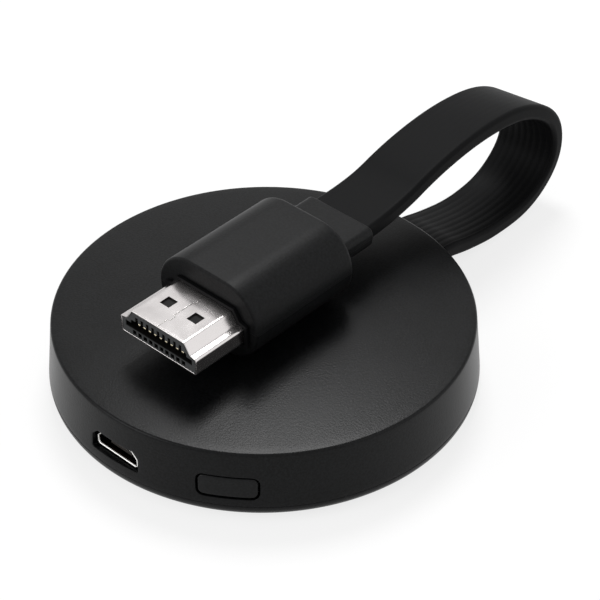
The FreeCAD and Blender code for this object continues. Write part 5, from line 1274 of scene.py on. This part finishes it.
class DONGLE_OT_upper_contacts(bpy.types.Operator):
    """Upper row of contacts: each is a strip swept along a line that runs forward in its
    groove, comes down into the slot and bends down once more at its round nose"""
    bl_idname = "dongle.upper_contacts"
    bl_label = "Upper contacts"

    def execute(self, context):
        plug = settings().plug
        bends, corner = [0.0010, 0.0003, 0.00015], 0.00008
        line = rounded(CONTACT_LINE, bends, 7, closed=False)
        along = unit(np.gradient(line, axis=0))
        normal = np.stack([along[:, 1], -along[:, 0]], axis=1)
        section = rounded_box(plug.contact_width, plug.contact_sheet, corner, 5)
        flat = line[:, None, :] + section[None, :, 1, None] * normal[:, None, :]
        patches = []
        for number in range(9):
            across = (number - 4) * plug.pitch + section[:, 0]
            rings = np.stack([np.broadcast_to(across, flat.shape[:2]),
                              flat[..., 0] - plug.tip, flat[..., 1] + plug.level], axis=-1)
            patches.append(loft(rings))
        # The contacts' gold made a little lighter for the noses: a painted highlight.
        material = plated_metal("Contact noses", scaled(settings().finishes.contact, 1.06),
                                roughness=0.12, fineness=6000.0, cloud=0.05)
        make_piece("plug_upper_contacts", patches, material)
        return {"FINISHED"}


class DONGLE_OT_boot(bpy.types.Operator):
    """Soft boot round the plug, with its opening, its mould line and its sleeve"""
    bl_idname = "dongle.boot"
    bl_label = "Plug boot"

    def execute(self, context):
        plug, cable = settings().plug, settings().cable
        collar = plug_outline(plug, plug.collar_gap)
        turns = np.unique(np.concatenate([
            round_about(220, -math.pi), direction_of(collar)[::14]]).round(5))

        def ring(outline, distance):
            return upright(along_rays(outline, turns), distance - plug.tip, plug.level)

        def box_ring(width, height, corner, distance):
            return ring(dense(rounded_box(width, height, corner), 1600), distance)

        def stadium_ring(drawn, distance):
            """The boot's section with its half round sides, drawn in all round."""
            sweep = np.linspace(-math.pi / 2, math.pi / 2, 90)
            right = (plug.boot_height / 2 - drawn) * np.stack([np.cos(sweep), np.sin(sweep)],
                                                              axis=1)
            right[:, 0] += (plug.boot_width - plug.boot_height) / 2
            return ring(dense(np.vstack([right, -right]), 1600), distance)

        front, rear = plug.shell_bare, plug.shell_bare + plug.boot_length
        end = rear + plug.sleeve_length
        opening, mouth = 0.0001, 0.0002
        rings = [ring(collar, plug.collar_end), ring(collar, front + opening),
                 ring(drawn_in(collar, -opening), front)]
        rings += [stadium_ring(plug.boot_front * (1.0 - rise), front + plug.boot_front * drop)
                  for rise, drop in quarter(8)]
        rings += [stadium_ring(0.0, front + share * plug.boot_length)
                  for share in (0.2, 0.4, 0.6, 0.8)]
        rings += [stadium_ring(plug.boot_rear * drop, rear - plug.boot_rear * (1.0 - rise))
                  for rise, drop in quarter(10)]
        wide, tall, corner = plug.sleeve_width, plug.sleeve_height, plug.sleeve_corner
        for rise, drop in quarter(6):
            grown = 2 * plug.sleeve_root * (1.0 - rise)
            rings.append(box_ring(wide + grown, tall + grown, corner + grown / 2,
                                  rear + plug.sleeve_root * drop))
        for rise, drop in quarter(6):
            drawn = 2 * plug.sleeve_edge * drop
            rings.append(box_ring(wide - drawn, tall - drawn, corner - drawn / 4,
                                  end - plug.sleeve_edge * (1.0 - rise)))
        channel = (plug.channel_width, plug.channel_height, plug.channel_corner)
        space = (plug.mould_width, plug.mould_height, plug.mould_corner)
        rings += [box_ring(cable.width, cable.thickness, cable.corner, end),
                  box_ring(*channel, end - mouth), box_ring(*channel, plug.mould_end),
                  box_ring(*space, plug.mould_end), box_ring(*space, plug.collar_end),
                  ring(collar, plug.collar_end)]
        material = moulded_plastic("Boot plastic", settings().finishes.rubber,
                                   roughness=0.44, fineness=3000.0, specular=0.11,
                                   contrast=0.6, speckle=3.0)
        add_parting_line(material, plug.level, half_width=0.00006, depth=0.00003)
        make_piece("plug_boot", [loft(rings, ends=False)], material)
        return {"FINISHED"}


class DONGLE_OT_finishes(bpy.types.Operator):
    """Materials of the pieces that keep the shape of the frame"""
    bl_idname = "dongle.finishes"
    bl_label = "Finishes of the other pieces"

    def execute(self, context):
        port = plated_metal("Port plate", (0.58, 0.57, 0.55), 0.28)
        # Painted shade inside the port: its plated shell turns dark brown behind its mouth.
        port_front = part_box("port_shell")[0][1]
        paint_shade_behind(port, distance=port_front - 0.0001, painted_shade=(0.035, 0.022, 0.018))
        of_nodes = (
            (port, "port_shell"),
            (board_laminate("Board laminate"), "main_board"),
            (plated_metal("Gold plate", settings().finishes.contact, 0.22, 6000.0, 0.08),
             "port_contacts plug_lower_contacts"),
            (plated_metal("Tin plate", (0.62, 0.62, 0.61), 0.36, cloud=0.2),
             "shield_frame shield_lid radio_module crystal antennas switch_cover"),
            (plated_metal("Drawn can", (0.60, 0.59, 0.56), 0.32, cloud=0.2),
             "plug_shield_can"),
            (plated_metal("Mill aluminium", (0.70, 0.71, 0.72), 0.38, cloud=0.15),
             "heat_spreader"),
            (plated_metal("Zinc plate", (0.42, 0.42, 0.43), 0.34, cloud=0.2),
             "board_screws"),
            (moulded_plastic("Inner mould", (0.005, 0.005, 0.0055), specular=0.06),
             "plug_inner_mould"),
            (moulded_plastic("Natural plastic", (0.62, 0.61, 0.57), specular=0.45,
                             contrast=0.05), "cable_header plug_core_comb"),
            (moulded_plastic("Core jacket", (0.46, 0.40, 0.36), 0.42, specular=0.45,
                             contrast=0.10), "cable_cores plug_cores"),
            (moulded_plastic("Chip mould", (0.035, 0.035, 0.037), 0.55, 9000.0),
             "processor memory_chip flash_chip voltage_regulators"),
            (moulded_plastic("Pad silicone", (0.36, 0.40, 0.44), 0.75, 4000.0,
                             contrast=0.12), "thermal_pad gap_pad"),
            (moulded_plastic("Ferrite", (0.07, 0.07, 0.075), 0.6, 7000.0),
             "power_inductors"),
            (moulded_plastic("Ceramic", (0.42, 0.30, 0.20), 0.5, 8000.0, contrast=0.15),
             "capacitors"),
            (moulded_plastic("Switch plastic", (0.04, 0.04, 0.042)),
             "switch_body switch_plunger"),
            (moulded_plastic("Port plastic", (0.022, 0.019, 0.017)), "port_tongue"),
        )
        for material, names in of_nodes:
            for name in names.split():
                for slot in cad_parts[name].material_slots:
                    slot.material = material
        return {"FINISHED"}


# Stage


def placed(name, data, right, up, back, place):
    """A camera or lamp that looks against the direction back."""
    holder = bpy.data.objects.new(name, data)
    matrix = np.eye(4)
    matrix[:3] = np.column_stack([right, up, back, place])
    holder.matrix_world = Matrix(matrix.tolist())
    bpy.context.scene.collection.objects.link(holder)
    return holder


def white_to_viewer(owner, target, plain, white, share):
    """A surface that is plain for the object and white for the camera and for what is seen
    in gloss and through glass. The share is how much of it is white there."""
    owner.use_nodes = True
    tree = owner.node_tree
    tree.nodes.clear()
    rays = put(tree, "ShaderNodeLightPath").outputs
    seen = maths(tree, "MAXIMUM", rays["Is Camera Ray"], rays["Is Glossy Ray"])
    seen = maths(tree, "MAXIMUM", seen, rays["Is Transmission Ray"])
    sides = [put(tree, kind, {"Color": (grey, grey, grey, 1.0), **inputs}).outputs[0]
             for kind, grey, inputs in (plain, white)]
    both = put(tree, "ShaderNodeMixShader",
               {0: maths(tree, "MULTIPLY", seen, share), 1: sides[0], 2: sides[1]})
    put(tree, target, {"Surface": both.outputs[0]})


class DONGLE_OT_stage(bpy.types.Operator):
    """Camera at the photograph's angle, pale floor and soft light"""
    bl_idname = "dongle.stage"
    bl_label = "Stage"

    def execute(self, context):
        scene, stage = context.scene, settings().stage
        heading, side = axes_of(stage.azimuth)
        right = np.array([*heading, 0.0])
        ahead = np.array([*side * math.cos(stage.elevation), -math.sin(stage.elevation)])
        up = np.cross(right, ahead)
        place = stage.aim_right * right + stage.aim_up * up - stage.distance * ahead
        camera = bpy.data.cameras.new("camera")
        camera.lens = stage.lens
        camera.sensor_width = 36.0
        camera.clip_start = 0.005
        scene.camera = placed("camera", camera, right, up, -ahead, place)

        reach = 3.0
        mesh = bpy.data.meshes.new("floor")
        mesh.from_pydata([(-reach, -reach, 0), (reach, -reach, 0), (reach, reach, 0),
                          (-reach, reach, 0)], [], [(0, 1, 2, 3)])
        floor = bpy.data.objects.new("floor", mesh)
        floor.location.z = -0.00002
        scene.collection.objects.link(floor)
        material = bpy.data.materials.new("Pale floor")
        white_to_viewer(material, "ShaderNodeOutputMaterial",
                        plain=("ShaderNodeBsdfDiffuse", 0.88, {}),
                        white=("ShaderNodeEmission", 1.0, {"Strength": 1.08}), share=0.72)
        mesh.materials.append(material)

        scene.world = bpy.data.worlds.new("surround")
        white_to_viewer(scene.world, "ShaderNodeOutputWorld",
                        plain=("ShaderNodeBackground", 1.0, {"Strength": stage.world}),
                        white=("ShaderNodeBackground", 1.0, {"Strength": 1.0}), share=1.0)

        for name, direction, distance, size, power in (
                ("lamp_behind", (-0.30, 0.34, 0.89), 0.35, 0.13, stage.glow),
                ("lamp_right", (0.80, 0.42, 0.45), 0.8, 1.0, 1.0),
                ("lamp_front", (-0.40, -0.80, 0.50), 0.8, 0.5, 1.6)):
            lamp = bpy.data.lights.new(name, "AREA")
            lamp.shape = "DISK"
            lamp.size = size
            lamp.energy = power
            out = unit(np.array(direction))
            right = unit(np.cross([0.0, 0.0, 1.0], out))
            placed(name, lamp, right, np.cross(out, right), out, out * distance)
        scene.view_settings.view_transform = "Standard"
        return {"FINISHED"}


OPERATORS = (
    DONGLE_OT_stage,
    DONGLE_OT_rear_cover,
    DONGLE_OT_front_cover,
    DONGLE_OT_port_lip,
    DONGLE_OT_button,
    DONGLE_OT_gland,
    DONGLE_OT_plug_shell,
    DONGLE_OT_contact_block,
    DONGLE_OT_upper_contacts,
    DONGLE_OT_boot,
    DONGLE_OT_cable,
    DONGLE_OT_finishes,
)


class DONGLE_PT_panel(bpy.types.Panel):
    """Lists the dongle's pieces"""
    bl_idname = "DONGLE_PT_panel"
    bl_label = "Display dongle"
    bl_space_type = "VIEW_3D"
    bl_region_type = "UI"
    bl_category = "Dongle"

    def draw(self, context):
        for operator in OPERATORS:
            self.layout.operator(operator.bl_idname)


CLASSES = (
    HousingSizes,
    PortSizes,
    ButtonSizes,
    PlugSizes,
    CableSizes,
    Finishes,
    StageSettings,
    DongleSettings,
    *OPERATORS,
    DONGLE_PT_panel,
)


def register():
    for item in CLASSES:
        bpy.utils.register_class(item)
    bpy.types.Scene.display_dongle = PointerProperty(type=DongleSettings)


def unregister():
    del bpy.types.Scene.display_dongle
    for item in reversed(CLASSES):
        bpy.utils.unregister_class(item)


def main():
    register()
    for operator in OPERATORS:
        getattr(bpy.ops.dongle, operator.bl_idname.split(".")[1])()


if __name__ == "__main__":
    main()
